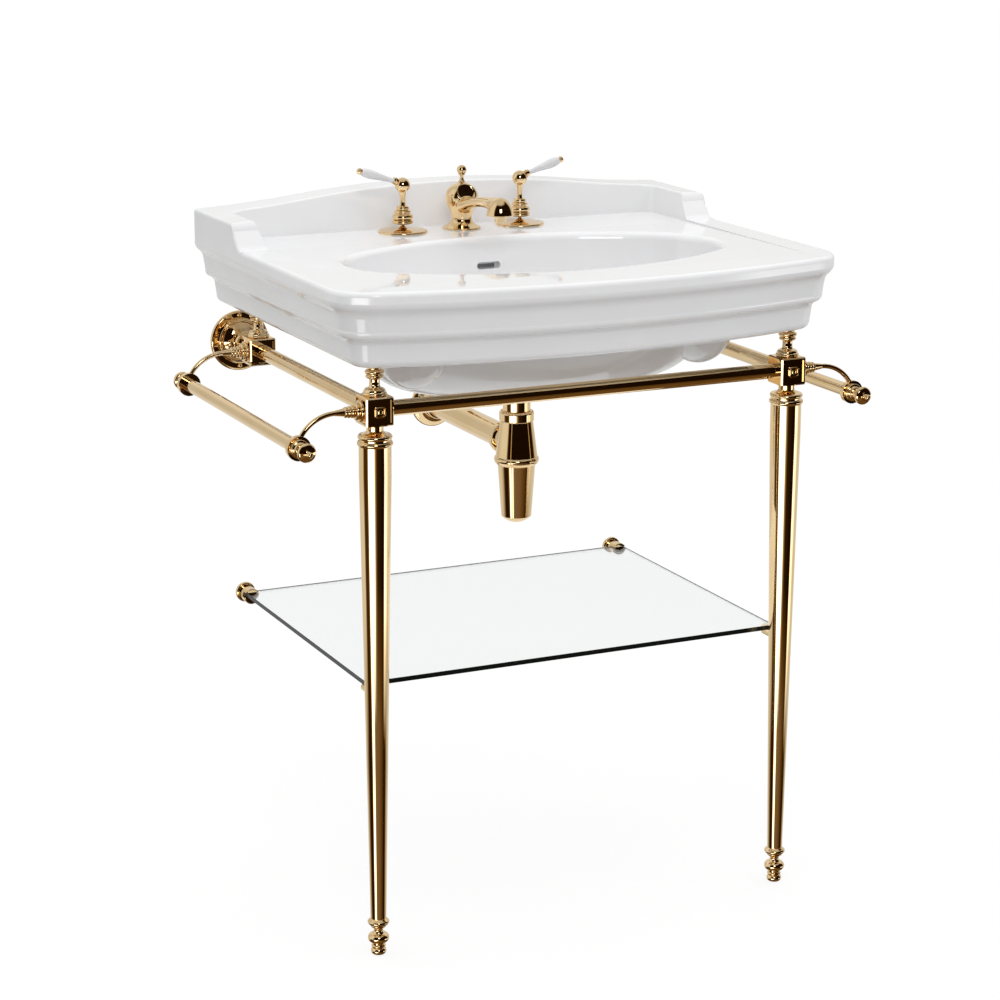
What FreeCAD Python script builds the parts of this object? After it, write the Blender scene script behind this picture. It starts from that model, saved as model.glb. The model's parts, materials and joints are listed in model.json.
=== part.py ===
import FreeCAD, Part
import math
import os
import re

import Sketcher

# Console washbasin on a two-legged metal stand, fixed to a wall at its rear.
# Millimetres. X runs along the wall, Y points at the wall, Z is up, and the
# floor is z = 0. X = 0 is the middle of the basin.

Vector = FreeCAD.Vector
Rotation = FreeCAD.Rotation
Placement = FreeCAD.Placement

doc = FreeCAD.newDocument("console_washbasin")

# ---------------------------------------------------------------- sizes

sizes = {
    # where the main pieces stand
    "wall_y": 277.5,
    "frame_depth": 465,
    "block_span": 390.5,
    "leg_x": 279,
    "block_z": 680,
    "fit_gap": 0.05,
    # basin
    "side_overhang": 58.5,
    "front_overhang": 90,
    "skirt_tall": 94.5,
    "ledge_down": 2.5,
    "support_tall": 35.5,
    "front_bow": 1121,
    "corner_bend": 60,
    "rim_round": 6,
    "clay": 14,
    "tier_one": 11,
    "tier_two": 26,
    "tier_three": 33,
    "bowl_side": 29,
    "bowl_setback": 1,
    "ledge_run": 176,
    "bowl_drop": 164,
    "oval_fullness": 0.66,
    "bowl_round": 9,
    "upstand_round": 4,
    "drain_run": 266,
    "drain_hole": 23,
    "tap_run": 96,
    "tap_x": 84.5,
    "tap_hole": 17.5,
    "bearing_side": 24,
    "bearing_thick": 12,
    "lobe_side": 54,
    "lobe_setback": 85,
    "lobe_up": 8,
    "lobe_tall": 60,
    "lobe_wide": 45,
    "lobe_deep": 60,
    "arch_reach": 200,
    "arch_drop": 12,
    "arch_blend": 1725,
    "waste_flange_r": 32,
    "waste_seat": 2.5,
    "wall_bolt_up": 42,
    "splash_tall": 53.5,
    "splash_fall": 23,
    "splash_thick": 43,
    "splash_slope": 18,
    "wing_run": 165,
    "wing_wide": 33,
    "overflow_down": 39.5,
    "overflow_wide": 35,
    "overflow_tall": 9,
    "wall_bolt_x": 140,
    "wall_bolt_hole": 7,
    # stand
    "block_side": 35,
    "block_bevel": 1.5,
    "panel_frame": 3.5,
    "panel_deep": 1.6,
    "rail_r": 9.5,
    "spigot_r": 6,
    "spigot_run": 9,
    "foot_tall": 47,
    "leg_toe_r": 9.65,
    "leg_top_r": 19.35,
    "leg_ring_r": 20.5,
    "leg_neck_r": 10,
    "leg_taper": 553,
    "leg_parallel": 37,
    "rosette_r": 40,
    "rosette_screw_r": 34,
    "rosette_hole": 1.9,
    "foot_stud_r": 4,
    "support_stud_r": 5,
    "arm_stud_r": 4,
    "rest_r": 5,
    "rest_deep": 5,
    "rest_run": 30,
    "cap_half": 5.5,
    "cap_bend": 1.8,
    "cap_tall": 2.6,
    "rosette_floor": 2.6,
    "screw_head_r": 2.9,
    "arm_sweep": 61.6,
    "glass_arris": 0.6,
    "socket_side": 7,
    "socket_drop": 2.5,
    # towel rails
    "arm_reach": 78.5,
    "arm_drop": 37,
    "arm_bend": 50,
    "arm_rod_r": 3,
    "collar_run": 32.5,
    "disc_r": 14.75,
    "disc_thick": 7,
    "bar_r": 8.5,
    "bar_stud_r": 4,
    # shelf
    "glass_side": 5,
    "glass_leg_gap": 22.5,
    "glass_thick": 6,
    "glass_z": 334.5,
    "glass_wall_gap": 19.5,
    # waste and trap
    "tail_r": 17.75,
    "waste_r": 19,
    "trap_top_down": 50.4,
    "trap_cone_r": 29,
    "trap_arm_down": 94,
    "outlet_r": 16,
    # taps
    "flange_r": 32.3,
    "valve_r": 13.2,
    "inlet_r": 10.48,
    "ball_up": 64,
    "ball_r": 9.6,
    "lever_run": 67,
    "lever_rise": 17.4,
    "spout_reach": 119,
    "dome_r": 22,
    "dome_up": 41,
    # waste and pop-up
    "thread_down": 27,
    "thread_r": 20.5,
    "tail_down": 64,
    "tail_bore": 15.75,
    "washer_thick": 2.5,
    "waste_nut_tall": 7.5,
    "port_down": 38,
    "port_r": 7.5,
    "port_run": 27,
    "port_ball_y": 24,
    "port_ball_r": 5.2,
    "pivot_r": 2,
    "pivot_tilt": 6.05,
    "plug_r": 14.6,
    "stem_r": 3,
    "lift_r": 3.4,
    "rod_down": 129,
    "knob_r": 6.5,
    "strap_offset": 4.5,
    # trap
    "cup_down": 121,
    "cup_low_down": 198,
    "cup_r": 24.2,
    "cup_low_r": 19.4,
    "neck_r": 20.4,
    "collar_deep": 10.6,
    "dip_r": 15.6,
    "dip_down": 164,
    "outlet_run": 38,
    # taps and spout
    "inlet_down": 113,
    "inlet_run": 15,
    "chamber_r": 15,
    "chamber_down": 35,
    "cartridge_down": 30,
    "cartridge_r": 9.9,
    "spindle_r": 4,
    "spindle_down": 24,
    "escutcheon_r": 32.3,
    "ferrule_run": 4,
    "stud_r": 1.6,
    "cross_down": 70,
    "cross_drop": 8,
    "cross_r": 5,
    "tee_down": 77,
    "tee_tall": 24,
    "tee_half": 17,
    "shank_r": 12,
    "shank_down": 63,
    "shank_up": 7,
    "deck_nut_tall": 8,
    "dome_tip_up": 61.5,
    "face_out": 19.2,
    "face_lean": 26.6,
    "face_r": 11.7,
    "arm_way_up": 41,
    "hood_r": 17.5,
    "hood_up": 32,
    "aerator_r": 7.2,
    "aerator_up": 23.7,
}

# What stands between, on or beside other pieces takes its place from them.
follows = {
    "basin_half": "leg_x + side_overhang",
    "basin_depth": "frame_depth + front_overhang",
    "bowl_half": "leg_x - bowl_side",
    "bowl_reach": "(frame_depth - bowl_setback - ledge_run) / 2",
    "bowl_y": "wall_y - ledge_run - bowl_reach",
    "drain_y": "wall_y - drain_run",
    "tap_y": "wall_y - tap_run",
    "bearing_x": "leg_x - bearing_side",
    "lobe_x": "bowl_half - lobe_side",
    "lobe_y": "wall_y - frame_depth + lobe_setback",
    "glass_half": "leg_x + glass_side",
    "glass_deep": "frame_depth - glass_wall_gap - glass_leg_gap",
    "socket_x": "glass_half - socket_side",
    "skirt_z": "block_z + block_side / 2 + support_tall",
    "rim_z": "skirt_z + skirt_tall",
    "ledge_z": "rim_z - ledge_down",
    "floor_z": "rim_z + 0.5 - bowl_drop",
    "lobe_z": "skirt_z + lobe_up",
    "wall_bolt_z": "skirt_z + wall_bolt_up",
    "splash_top": "rim_z + splash_tall",
    "splash_end": "splash_top - splash_fall",
    "overflow_z": "rim_z - overflow_down",
    "ball_z": "ledge_z + ball_up",
    "inlet_z": "ledge_z - inlet_down",
    "chamber_top": "ledge_z - chamber_down",
    "cartridge_z": "ledge_z - cartridge_down",
    "spindle_low": "ledge_z - spindle_down",
    "cross_z": "ledge_z - cross_down",
    "tee_z": "ledge_z - tee_down",
    "shank_low": "ledge_z - shank_down",
    "dome_z": "ledge_z + dome_up",
    "dome_top": "ledge_z + dome_tip_up",
    "arm_way_z": "ledge_z + arm_way_up",
    "hood_low": "ledge_z + hood_up",
    "aerator_low": "ledge_z + aerator_up",
    "rod_low": "ledge_z - rod_down",
    "thread_z": "floor_z - thread_down",
    "tail_low": "floor_z - tail_down",
    "port_z": "floor_z - port_down",
    "trap_top_z": "floor_z - trap_top_down",
    "trap_arm_z": "floor_z - trap_arm_down",
    "cup_z": "floor_z - cup_down",
    "cup_low": "floor_z - cup_low_down",
    "dip_low": "floor_z - dip_down",
}

sheet = doc.addObject("Spreadsheet::Sheet", "Sizes")
for row, (name, number) in enumerate(sizes.items(), start=1):
    sheet.set("A%d" % row, name)
    sheet.set("B%d" % row, str(number))
    sheet.setAlias("B%d" % row, name)
doc.recompute()


def bound(text):
    """Point every size named in an expression at its cell in the sheet."""
    def cell(hit):
        word = hit.group(0)
        if word in follows:
            return "(%s)" % bound(follows[word])
        return "Sizes." + word if word in sizes else word
    return re.sub(r"[a-z]\w*", cell, str(text))


def value(text):
    """What an expression in sizes comes to."""
    return float(sheet.evalExpression(bound(text)))


# ---------------------------------------------------------------- helpers

planes = {"XY": "XY_Plane", "XZ": "XZ_Plane", "YZ": "YZ_Plane"}


def new_body(label):
    body = doc.addObject("PartDesign::Body", label)
    body.Label = label
    return body


def place(body, x, y, z, turn=None):
    """Stand a body at a point given in sizes, turned about its own origin."""
    if turn:
        body.Placement = Placement(Vector(), turn)
    for axis, text in zip("xyz", (x, y, z)):
        body.setExpression("Placement.Base." + axis, bound(text))
    return body


def new_sketch(body, name, plane, offset="0"):
    """A sketch on one of the body's own origin planes, moved along its normal."""
    sketch = body.newObject("Sketcher::SketchObject", body.Name + "_" + name)
    role = planes[plane]
    support = [item for item in body.Origin.OriginFeatures if item.Role == role][0]
    sketch.AttachmentSupport = [(support, "")]
    sketch.MapMode = "FlatFace"
    if offset != "0":
        sketch.setExpression("AttachmentOffset.Base.z", bound(offset))
    return sketch


def constrain(sketch, kind, *target, size=None):
    """Add a constraint and, where it has a size, tie that to the sheet."""
    if size is None:
        return sketch.addConstraint(Sketcher.Constraint(kind, *target))
    index = sketch.addConstraint(Sketcher.Constraint(kind, *target, value(size)))
    sketch.setExpression("Constraints[%d]" % index, bound(size))
    return index


def pin(sketch, line, end, x, y):
    """Fix one end of a line or arc at (x, y) from the sketch's origin."""
    if x == "0":
        constrain(sketch, "PointOnObject", line, end, -2)
    else:
        constrain(sketch, "DistanceX", -1, 1, line, end, size=x)
    if y == "0":
        constrain(sketch, "PointOnObject", line, end, -1)
    else:
        constrain(sketch, "DistanceY", -1, 1, line, end, size=y)


def spot(x, y):
    return Vector(value(x), value(y), 0)


def bulge(begin, finish, radius, left):
    """An arc between two points; left says which side its centre lies on."""
    chord = finish - begin
    half = chord.Length / 2
    rise = math.sqrt(max(radius ** 2 - half ** 2, 0))
    side = Vector(-chord.y, chord.x, 0).normalize() * (rise if left else -rise)
    centre = (begin + finish) * 0.5 + side
    circle = Part.Circle(centre, Vector(0, 0, 1), radius)
    first, last = (begin, finish) if left else (finish, begin)
    angles = [math.atan2(p.y - centre.y, p.x - centre.x) for p in (first, last)]
    return Part.ArcOfCircle(circle, angles[0], angles[1])


def draw(sketch, corners):
    """A closed outline through corners (x, y) or (x, y, bend).

    A bend is the radius of the arc that leads to that corner, with a sign:
    plus turns left along the outline and minus turns right."""
    ends = []
    count = len(corners)
    for index in range(count):
        begin = spot(*corners[index - 1][:2])
        x, y = corners[index][:2]
        finish = spot(x, y)
        if len(corners[index]) == 2:
            line = sketch.addGeometry(Part.LineSegment(begin, finish))
            ends.append((line, 1, 2))
        else:
            left = not corners[index][2].startswith("-")
            radius = corners[index][2].lstrip("+-")
            line = sketch.addGeometry(bulge(begin, finish, value(radius), left))
            ends.append((line, 1, 2) if left else (line, 2, 1))
            constrain(sketch, "Radius", line, size=radius)
    for index in range(count):
        line, start, stop = ends[index]
        before = ends[index - 1]
        constrain(sketch, "Coincident", before[0], before[2], line, start)
        pin(sketch, line, stop, *corners[index][:2])


def edges_where(shape, test):
    """Names of the edges whose middle point and length pass a test."""
    names = []
    for number, edge in enumerate(shape.Edges, start=1):
        if edge.Degenerated:
            continue
        first, last = edge.ParameterRange
        if test(edge.valueAt((first + last) / 2), edge.Length):
            names.append("Edge%d" % number)
    return names


def soften(body, name, radius, test):
    """Round the edges of a body that pass a test, by a radius from the sheet."""
    doc.recompute()
    before = body.Tip
    fillet = body.newObject("PartDesign::Fillet", body.Name + "_" + name)
    fillet.Base = (before, edges_where(before.Shape, test))
    fillet.setExpression("Radius", bound(radius))


def circle(sketch, x, y, radius):
    ring = sketch.addGeometry(Part.Circle(spot(x, y), Vector(0, 0, 1), value(radius)))
    pin(sketch, ring, 3, x, y)
    constrain(sketch, "Radius", ring, size=radius)


def feature(body, kind, name, sketch, **settings):
    """A sketch-based feature whose length settings are expressions."""
    made = body.newObject("PartDesign::" + kind, body.Name + "_" + name)
    made.Profile = sketch
    for key, setting in settings.items():
        if isinstance(setting, str) and key in ("Length", "Length2"):
            made.setExpression(key, bound(setting))
        else:
            setattr(made, key, setting)
    sketch.Visibility = False
    return made


def turning(sketch, radius, mouldings, base="0", bore="0"):
    """Half of a turned profile, from its lower end up.

    Each moulding is (kind, radius, height) or (kind, radius, height, centre):
    to is a straight run, upto one whose height counts from the lower end,
    bead swells outward, cove hollows inward, and centre is how far the arc's
    centre stands from the axis."""
    up = Vector(value(radius), value(base), 0)
    inner = Vector(value(bore), up.y, 0)
    line = sketch.addGeometry(Part.LineSegment(inner, up))
    pin(sketch, line, 1, bore, base)
    constrain(sketch, "Horizontal", line)
    constrain(sketch, "DistanceX", -1, 1, line, 2, size=radius)
    last = (line, 2)
    for step in mouldings:
        kind, reach, height = step[:3]
        start_y = value(base) if kind == "upto" else up.y
        top = Vector(value(reach), start_y + value(height), 0)
        if kind in ("to", "upto"):
            line = sketch.addGeometry(Part.LineSegment(up, top))
            ends = (1, 2)
        else:
            centre_x = value(step[3]) if len(step) > 3 else up.x
            rise = top.y - up.y
            lift = ((top.x - centre_x) ** 2 - (up.x - centre_x) ** 2 + rise ** 2) / (2 * rise)
            centre = Vector(centre_x, up.y + lift, 0)
            ends = (1, 2) if kind == "bead" else (2, 1)
            order = (up, top) if kind == "bead" else (top, up)
            angles = [math.atan2(p.y - centre.y, p.x - centre.x) for p in order]
            round_line = Part.Circle(centre, Vector(0, 0, 1), (up - centre).Length)
            line = sketch.addGeometry(Part.ArcOfCircle(round_line, *angles))
            where = step[3] if len(step) > 3 else None
            if where is None:
                constrain(sketch, "Vertical", line, 3, line, ends[0])
            elif where == "0":
                constrain(sketch, "PointOnObject", line, 3, -2)
            else:
                constrain(sketch, "DistanceX", -1, 1, line, 3, size=where)
        constrain(sketch, "Coincident", last[0], last[1], line, ends[0])
        if reach == "0":
            constrain(sketch, "PointOnObject", line, ends[1], -2)
        else:
            constrain(sketch, "DistanceX", -1, 1, line, ends[1], size=reach)
        if height == "0":
            constrain(sketch, "Horizontal", line)
        elif kind == "upto":
            constrain(sketch, "DistanceY", -1, 1, line, ends[1], size="%s + %s" % (base, height))
        else:
            constrain(sketch, "DistanceY", line, ends[0], line, ends[1], size=height)
        up = top
        last = (line, ends[1])
    corner = Vector(inner.x, up.y, 0)
    if abs(up.x - inner.x) > 1e-6:
        line = sketch.addGeometry(Part.LineSegment(up, corner))
        constrain(sketch, "Coincident", last[0], last[1], line, 1)
        constrain(sketch, "Horizontal", line)
        last = (line, 2)
    line = sketch.addGeometry(Part.LineSegment(corner, inner))
    constrain(sketch, "Coincident", last[0], last[1], line, 1)
    constrain(sketch, "Coincident", line, 2, 0, 1)
    if abs(up.x - inner.x) > 1e-6:
        constrain(sketch, "Vertical", line)


def turned(label, radius, mouldings, bore="0"):
    """A body turned about Z, standing on its lower end."""
    body = new_body(label)
    sketch = new_sketch(body, "profile", "XZ")
    turning(sketch, radius, mouldings, bore=bore)
    feature(body, "Revolution", "turning", sketch, ReferenceAxis=(sketch, ["V_Axis"]), Angle=360)
    return body


def hollow(body, name, base, radius, mouldings):
    """Turn a space out of a body, from height base up."""
    sketch = new_sketch(body, name, "XZ")
    turning(sketch, radius, mouldings, base=base)
    before = body.Tip
    cut = feature(body, "Groove", name + "_cut", sketch, ReferenceAxis=(sketch, ["V_Axis"]), Angle=360)
    return before, cut


def cut_round(body, name, plane, spots, radius, offset, depth):
    """Round holes sunk by depth on the face at that offset along the plane's normal."""
    sketch = new_sketch(body, name, plane, offset)
    for x, y in spots:
        circle(sketch, x, y, radius)
    return feature(body, "Pocket", name + "_cut", sketch, Midplane=True, Length="2 * (%s)" % depth)


along_x = Rotation(Vector(0, 1, 0), 90)
along_y = Rotation(Vector(1, 0, 0), -90)
toward_front = Rotation(Vector(1, 0, 0), 90)
half_turn = Rotation(Vector(0, 0, 1), 180)
ends_of_x = {"left": "-", "right": ""}


# ---------------------------------------------------------------- stand

leg_y = "(wall_y - frame_depth)"
rear_y = "(wall_y - frame_depth + block_span)"
half_block = "(block_side / 2)"
block_top = "(block_z + block_side / 2)"
depths = {"front": leg_y, "rear": rear_y}
rosette_run = "(frame_depth - block_span - block_side / 2)"
spigot_hole = "spigot_r + fit_gap"
sides = ("left", "right")
ends = ("front", "rear")


def at_leg(side):
    return ends_of_x[side] + "leg_x"


def build_leg(side):
    body = turned("leg_" + side, "leg_toe_r", [
        ("to", "leg_top_r", "leg_taper"),
        ("to", "leg_top_r", "leg_parallel"),
        ("to", "leg_ring_r - 0.7", "0"),
        ("bead", "leg_ring_r - 0.7", "6", "leg_ring_r - 2.6"),
        ("to", "leg_ring_r - 2.3", "0"),
        ("to", "leg_ring_r - 2.3", "2.5"),
        ("to", "leg_ring_r - 0.9", "0"),
        ("bead", "leg_ring_r - 1.4", "5", "leg_ring_r - 3"),
        ("cove", "leg_neck_r", "5", "leg_ring_r - 2.4"),
        ("upto", "leg_neck_r", "block_z - block_side / 2 - foot_tall"),
        ("to", "spigot_r", "0"),
        ("to", "spigot_r", "spigot_run"),
    ])
    cut_round(body, "foot_socket", "XY", [("0", "0")], "foot_stud_r + fit_gap", "0", "12")
    cut_round(body, "rest_socket", "XZ", [("0", "glass_z - rest_r - foot_tall")],
              "rest_r + fit_gap", "-leg_toe_r - rest_deep", "rest_deep")
    return place(body, at_leg(side), leg_y, "foot_tall")


def build_foot(side):
    body = turned("foot_" + side, "5", [
        ("bead", "7", "8.6", "5"),
        ("bead", "7.25", "4.4", "6.6"),
        ("to", "7.25", "2.6"),
        ("bead", "7.5", "11.6", "7.3"),
        ("cove", "8.6", "8.4", "10.8"),
        ("bead", "8.6", "3.6", "8.1"),
        ("to", "11.6", "0"),
        ("bead", "11.6", "5.4", "10.4"),
        ("upto", "9", "foot_tall"),
        ("to", "foot_stud_r", "0"),
        ("to", "foot_stud_r", "11"),
    ])
    return place(body, at_leg(side), leg_y, "0")


def build_support(side, end):
    body = turned("support_%s_%s" % (end, side), "support_stud_r", [
        ("to", "support_stud_r", "spigot_run"),
        ("to", "13", "0"),
        ("bead", "13", "4.4", "12.05"),
        ("bead", "10.6", "4", "9"),
        ("cove", "6.4", "4.4", "10.4"),
        ("to", "6.2", "6.4"),
        ("cove", "9.4", "1.6", "9.4"),
        ("bead", "9.4", "3.6", "8.7"),
        ("to", "8", "0"),
        ("to", "8", "1.2"),
        ("to", "10", "0"),
        ("bead", "10", "4.6", "9.1"),
        ("to", "7.6", "0"),
        ("bead", "7", "skirt_z - block_z - block_side / 2 - 30.2", "4.6"),
    ])
    return place(body, at_leg(side), depths[end], "block_z + block_side / 2 - spigot_run")


def square(reach):
    """The corners of a square that reaches that far each way."""
    low = "-(%s)" % reach
    return [(low, low), (reach, low), (reach, reach), (low, reach)]


def panel(body, name, plane, offset):
    """A square recess with a plain frame round it."""
    sketch = new_sketch(body, name, plane, offset)
    draw(sketch, square("block_side / 2 - panel_frame"))
    return feature(body, "Pocket", name + "_cut", sketch, Midplane=True, Length="2 * panel_deep")


def build_block(side, end):
    body = new_body("block_%s_%s" % (end, side))
    sketch = new_sketch(body, "square", "XY")
    draw(sketch, square("block_side / 2"))
    feature(body, "Pad", "cube", sketch, Midplane=True, Length="block_side")
    bevel = body.newObject("PartDesign::Chamfer", body.Name + "_bevel")
    bevel.Base = (body.Group[-2], [""])
    bevel.UseAllEdges = True
    bevel.setExpression("Size", bound("block_bevel"))
    outward, inward = ("-", "") if side == "left" else ("", "-")
    panel(body, "front_panel", "XZ", half_block)
    panel(body, "outer_panel", "YZ", outward + half_block)
    deep = "spigot_run + 1"
    middle = [("0", "0")]
    cut_round(body, "support_hole", "XY", middle, "support_stud_r + fit_gap", half_block, deep)
    cut_round(body, "arm_hole", "YZ", middle, "arm_stud_r + fit_gap", outward + half_block, deep)
    cut_round(body, "rear_hole", "XZ", middle, spigot_hole, "-" + half_block, deep)
    if end == "front":
        cut_round(body, "leg_hole", "XY", middle, spigot_hole, "-" + half_block, deep)
        cut_round(body, "rail_hole", "YZ", middle, spigot_hole, inward + half_block, deep)
    else:
        cut_round(body, "rail_hole", "XZ", middle, spigot_hole, half_block, deep)
    return place(body, at_leg(side), depths[end], "block_z")


def build_cap(side):
    """The small rounded cap on a front block's panel, with a square dimple."""
    body = new_body("block_cap_" + side)
    sketch = new_sketch(body, "square", "XZ")
    near, far, bend = "(cap_half - cap_bend)", "cap_half", "cap_bend"
    draw(sketch, [(near, "-" + far), (far, "-" + near, bend), (far, near), (near, far, bend),
                  ("-" + near, far), ("-" + far, near, bend), ("-" + far, "-" + near),
                  ("-" + near, "-" + far, bend)])
    feature(body, "Pad", "rise", sketch, Length="cap_tall")
    dimple = new_sketch(body, "dimple", "XZ", "cap_tall")
    draw(dimple, square("cap_half - 3.2"))
    feature(body, "Pocket", "dimple_cut", dimple, Midplane=True, Length="2")
    return place(body, at_leg(side), leg_y + " - block_side / 2 + panel_deep", "block_z")


def rail(label, length, x, y, z, turn):
    body = turned(label, "spigot_r", [
        ("to", "spigot_r", "spigot_run"),
        ("to", "rail_r", "0"),
        ("to", "rail_r", length),
        ("to", "spigot_r", "0"),
        ("to", "spigot_r", "spigot_run"),
    ])
    return place(body, x, y, z, turn)


def build_front_rail():
    return rail("rail_front", "2 * leg_x - block_side", "block_side / 2 - leg_x - spigot_run",
                leg_y, "block_z", along_x)


def build_side_rail(side):
    return rail("rail_" + side, "block_span - block_side", at_leg(side),
                leg_y + " + block_side / 2 - spigot_run", "block_z", along_y)


def share(part):
    """A step of the rosette's stem, as a part of its run from the flange."""
    return "%g * (%s - rosette_floor)" % (part, rosette_run)


def build_rosette(side):
    """Its mouldings share out the run that the blocks leave to the wall."""
    body = turned("rosette_" + side, "rosette_r", [
        ("to", "rosette_r", "2"),
        ("bead", "rosette_r - 2.4", "3", "rosette_r - 3"),
        ("to", "rosette_r - 3", "rosette_floor - 5"),
        ("to", "rosette_screw_r - screw_head_r - 0.5", "0"),
        ("to", "30", share(0.0625)),
        ("bead", "27", share(0.048), "28"),
        ("to", "26", share(-0.022)),
        ("bead", "13", share(0.147), "10"),
        ("cove", "9.5", share(0.147), "19"),
        ("upto", "9.5", "%s - %s" % (rosette_run, share(0.165))),
        ("to", "11.4", "0"),
        ("bead", "11.4", share(0.0735), "10.4"),
        ("upto", "11.4", rosette_run),
        ("to", "spigot_r", "0"),
        ("to", "spigot_r", "spigot_run"),
    ])
    spots = [("0", "rosette_screw_r"), ("0", "-rosette_screw_r")]
    cut_round(body, "screw_holes", "XY", spots, "rosette_hole", "0", "rosette_floor + 1")
    return place(body, at_leg(side), "wall_y", "block_z", toward_front)


def group(label, bodies):
    """Identical small pieces that share one node, as separate solids."""
    joined = doc.addObject("Part::Compound", label)
    joined.Label = label
    joined.Links = bodies
    return joined


def build_rosette_screws():
    screws = []
    for side in sides:
        for name, sign in (("low", "-"), ("high", "+")):
            screw = turned("rosette_screw_%s_%s" % (name, side), "rosette_hole - fit_gap", [
                ("to", "rosette_hole - fit_gap", "rosette_floor"),
                ("to", "screw_head_r", "0"),
                ("to", "screw_head_r", "0.6"),
                ("bead", "1.4", "1.6", "0"),
            ])
            screws.append(place(screw, at_leg(side), "wall_y",
                                "block_z %s rosette_screw_r" % sign, toward_front))
    return group("rosette_screws", screws)


# ---------------------------------------------------------------- towel rails

bar_x = "(leg_x + block_side / 2 + arm_reach)"


def build_arm(side, end):
    """Ringed collar, bent rod and disc in one; local Z is outward, X is down."""
    body = turned("towel_arm_%s_%s" % (end, side), "arm_stud_r", [
        ("to", "arm_stud_r", "spigot_run"),
        ("to", "12.2", "0"),
        ("bead", "12.2", "3.6", "11.4"),
        ("to", "9.6", "0.6"),
        ("bead", "9.2", "4", "8.6"),
        ("to", "6.4", "0.8"),
        ("bead", "6", "4.2", "5.2"),
        ("bead", "5.6", "4.2", "4.8"),
        ("bead", "5", "4.2", "4.2"),
        ("upto", "arm_rod_r + 0.3", "spigot_run + collar_run"),
    ])
    path = new_sketch(body, "path", "XZ")
    start = Vector(0, value("spigot_run + collar_run - 4"), 0)
    mouth = Vector(0, value("spigot_run + collar_run"), 0)
    centre = Vector(value("arm_bend"), mouth.y, 0)
    line = path.addGeometry(Part.LineSegment(start, mouth))
    sweep = math.radians(value("arm_sweep"))
    bow = Part.Circle(centre, Vector(0, 0, 1), centre.x)
    arc = path.addGeometry(Part.ArcOfCircle(bow, math.pi - sweep, math.pi))
    pin(path, line, 1, "0", "spigot_run + collar_run - 4")
    pin(path, line, 2, "0", "spigot_run + collar_run")
    constrain(path, "Coincident", line, 2, arc, 2)
    pin(path, arc, 3, "arm_bend", "spigot_run + collar_run")
    constrain(path, "DistanceY", arc, 2, arc, 1, size="arm_bend * sin(arm_sweep * 1deg)")
    section = new_sketch(body, "section", "XY", "spigot_run + collar_run - 4")
    circle(section, "0", "0", "arm_rod_r")
    rod = body.newObject("PartDesign::AdditivePipe", body.Name + "_rod")
    rod.Profile = section
    rod.Spine = (path, ["Edge1", "Edge2"])
    disc = new_sketch(body, "disc", "XZ")
    circle(disc, "arm_drop", "spigot_run + arm_reach", "disc_r")
    feature(body, "Pad", "disc_pad", disc, Midplane=True, Length="disc_thick")
    hole = new_sketch(body, "disc_hole", "XZ")
    circle(hole, "arm_drop", "spigot_run + arm_reach", "bar_stud_r + fit_gap")
    feature(body, "Pocket", "disc_hole_cut", hole, Midplane=True, Length="2 * disc_thick")
    turn = along_x if side == "right" else half_turn * along_x
    foot = "leg_x + block_side / 2 - spigot_run"
    x = foot if side == "right" else "-(%s)" % foot
    return place(body, x, depths[end], "block_z", turn)


def build_bar(side):
    body = turned("towel_bar_" + side, "bar_r", [("to", "bar_r", "block_span - disc_thick")])
    middle = [("0", "0")]
    for name, offset in (("front", "0"), ("rear", "block_span - disc_thick")):
        cut_round(body, name + "_socket", "XY", middle, "bar_stud_r + fit_gap", offset, "11")
    x = bar_x if side == "right" else "-" + bar_x
    return place(body, x, leg_y + " + disc_thick / 2", "block_z - arm_drop", along_y)


def build_knob(side, end):
    body = turned("towel_knob_%s_%s" % (end, side), "bar_stud_r", [
        ("to", "bar_stud_r", "disc_thick + 10"),
        ("to", "10.2", "0"),
        ("bead", "10.2", "3.6", "9.4"),
        ("cove", "7.4", "3", "10.6"),
        ("to", "7.4", "11"),
        ("cove", "9.6", "2", "9.6"),
        ("bead", "9.6", "7", "7.4"),
        ("to", "5.2", "1.4"),
        ("to", "5.2", "1.6"),
        ("cove", "2.4", "2.6", "5.2"),
        ("bead", "0", "6.4", "0"),
    ])
    reach = "(disc_thick / 2 + 10)"
    x = bar_x if side == "right" else "-" + bar_x
    y = "%s + %s" % (leg_y, reach) if end == "front" else "%s - %s" % (rear_y, reach)
    return place(body, x, y, "block_z - arm_drop", toward_front if end == "front" else along_y)


# ---------------------------------------------------------------- shelf

def build_glass():
    body = new_body("shelf_glass")
    sketch = new_sketch(body, "sheet", "XY")
    rear = "wall_y - glass_wall_gap"
    front = "wall_y - glass_wall_gap - glass_deep"
    draw(sketch, [("-glass_half", front), ("glass_half", front), ("glass_half", rear), ("-glass_half", rear)])
    feature(body, "Pad", "thickness", sketch, Length="glass_thick")
    edge = body.newObject("PartDesign::Chamfer", "shelf_glass_arris")
    edge.Base = (body.Group[-2], [""])
    edge.UseAllEdges = True
    edge.setExpression("Size", bound("glass_arris"))
    return place(body, "0", "0", "glass_z")


def build_rest(side):
    """A short peg on the back of a leg, under the glass."""
    body = turned("shelf_rest_" + side, "rest_r", [
        ("to", "rest_r", "rest_run - 1.5"),
        ("bead", "rest_r - 1.5", "1.5", "rest_r - 1.5"),
    ])
    return place(body, at_leg(side), leg_y + " + leg_toe_r", "glass_z - rest_r", along_y)


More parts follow.
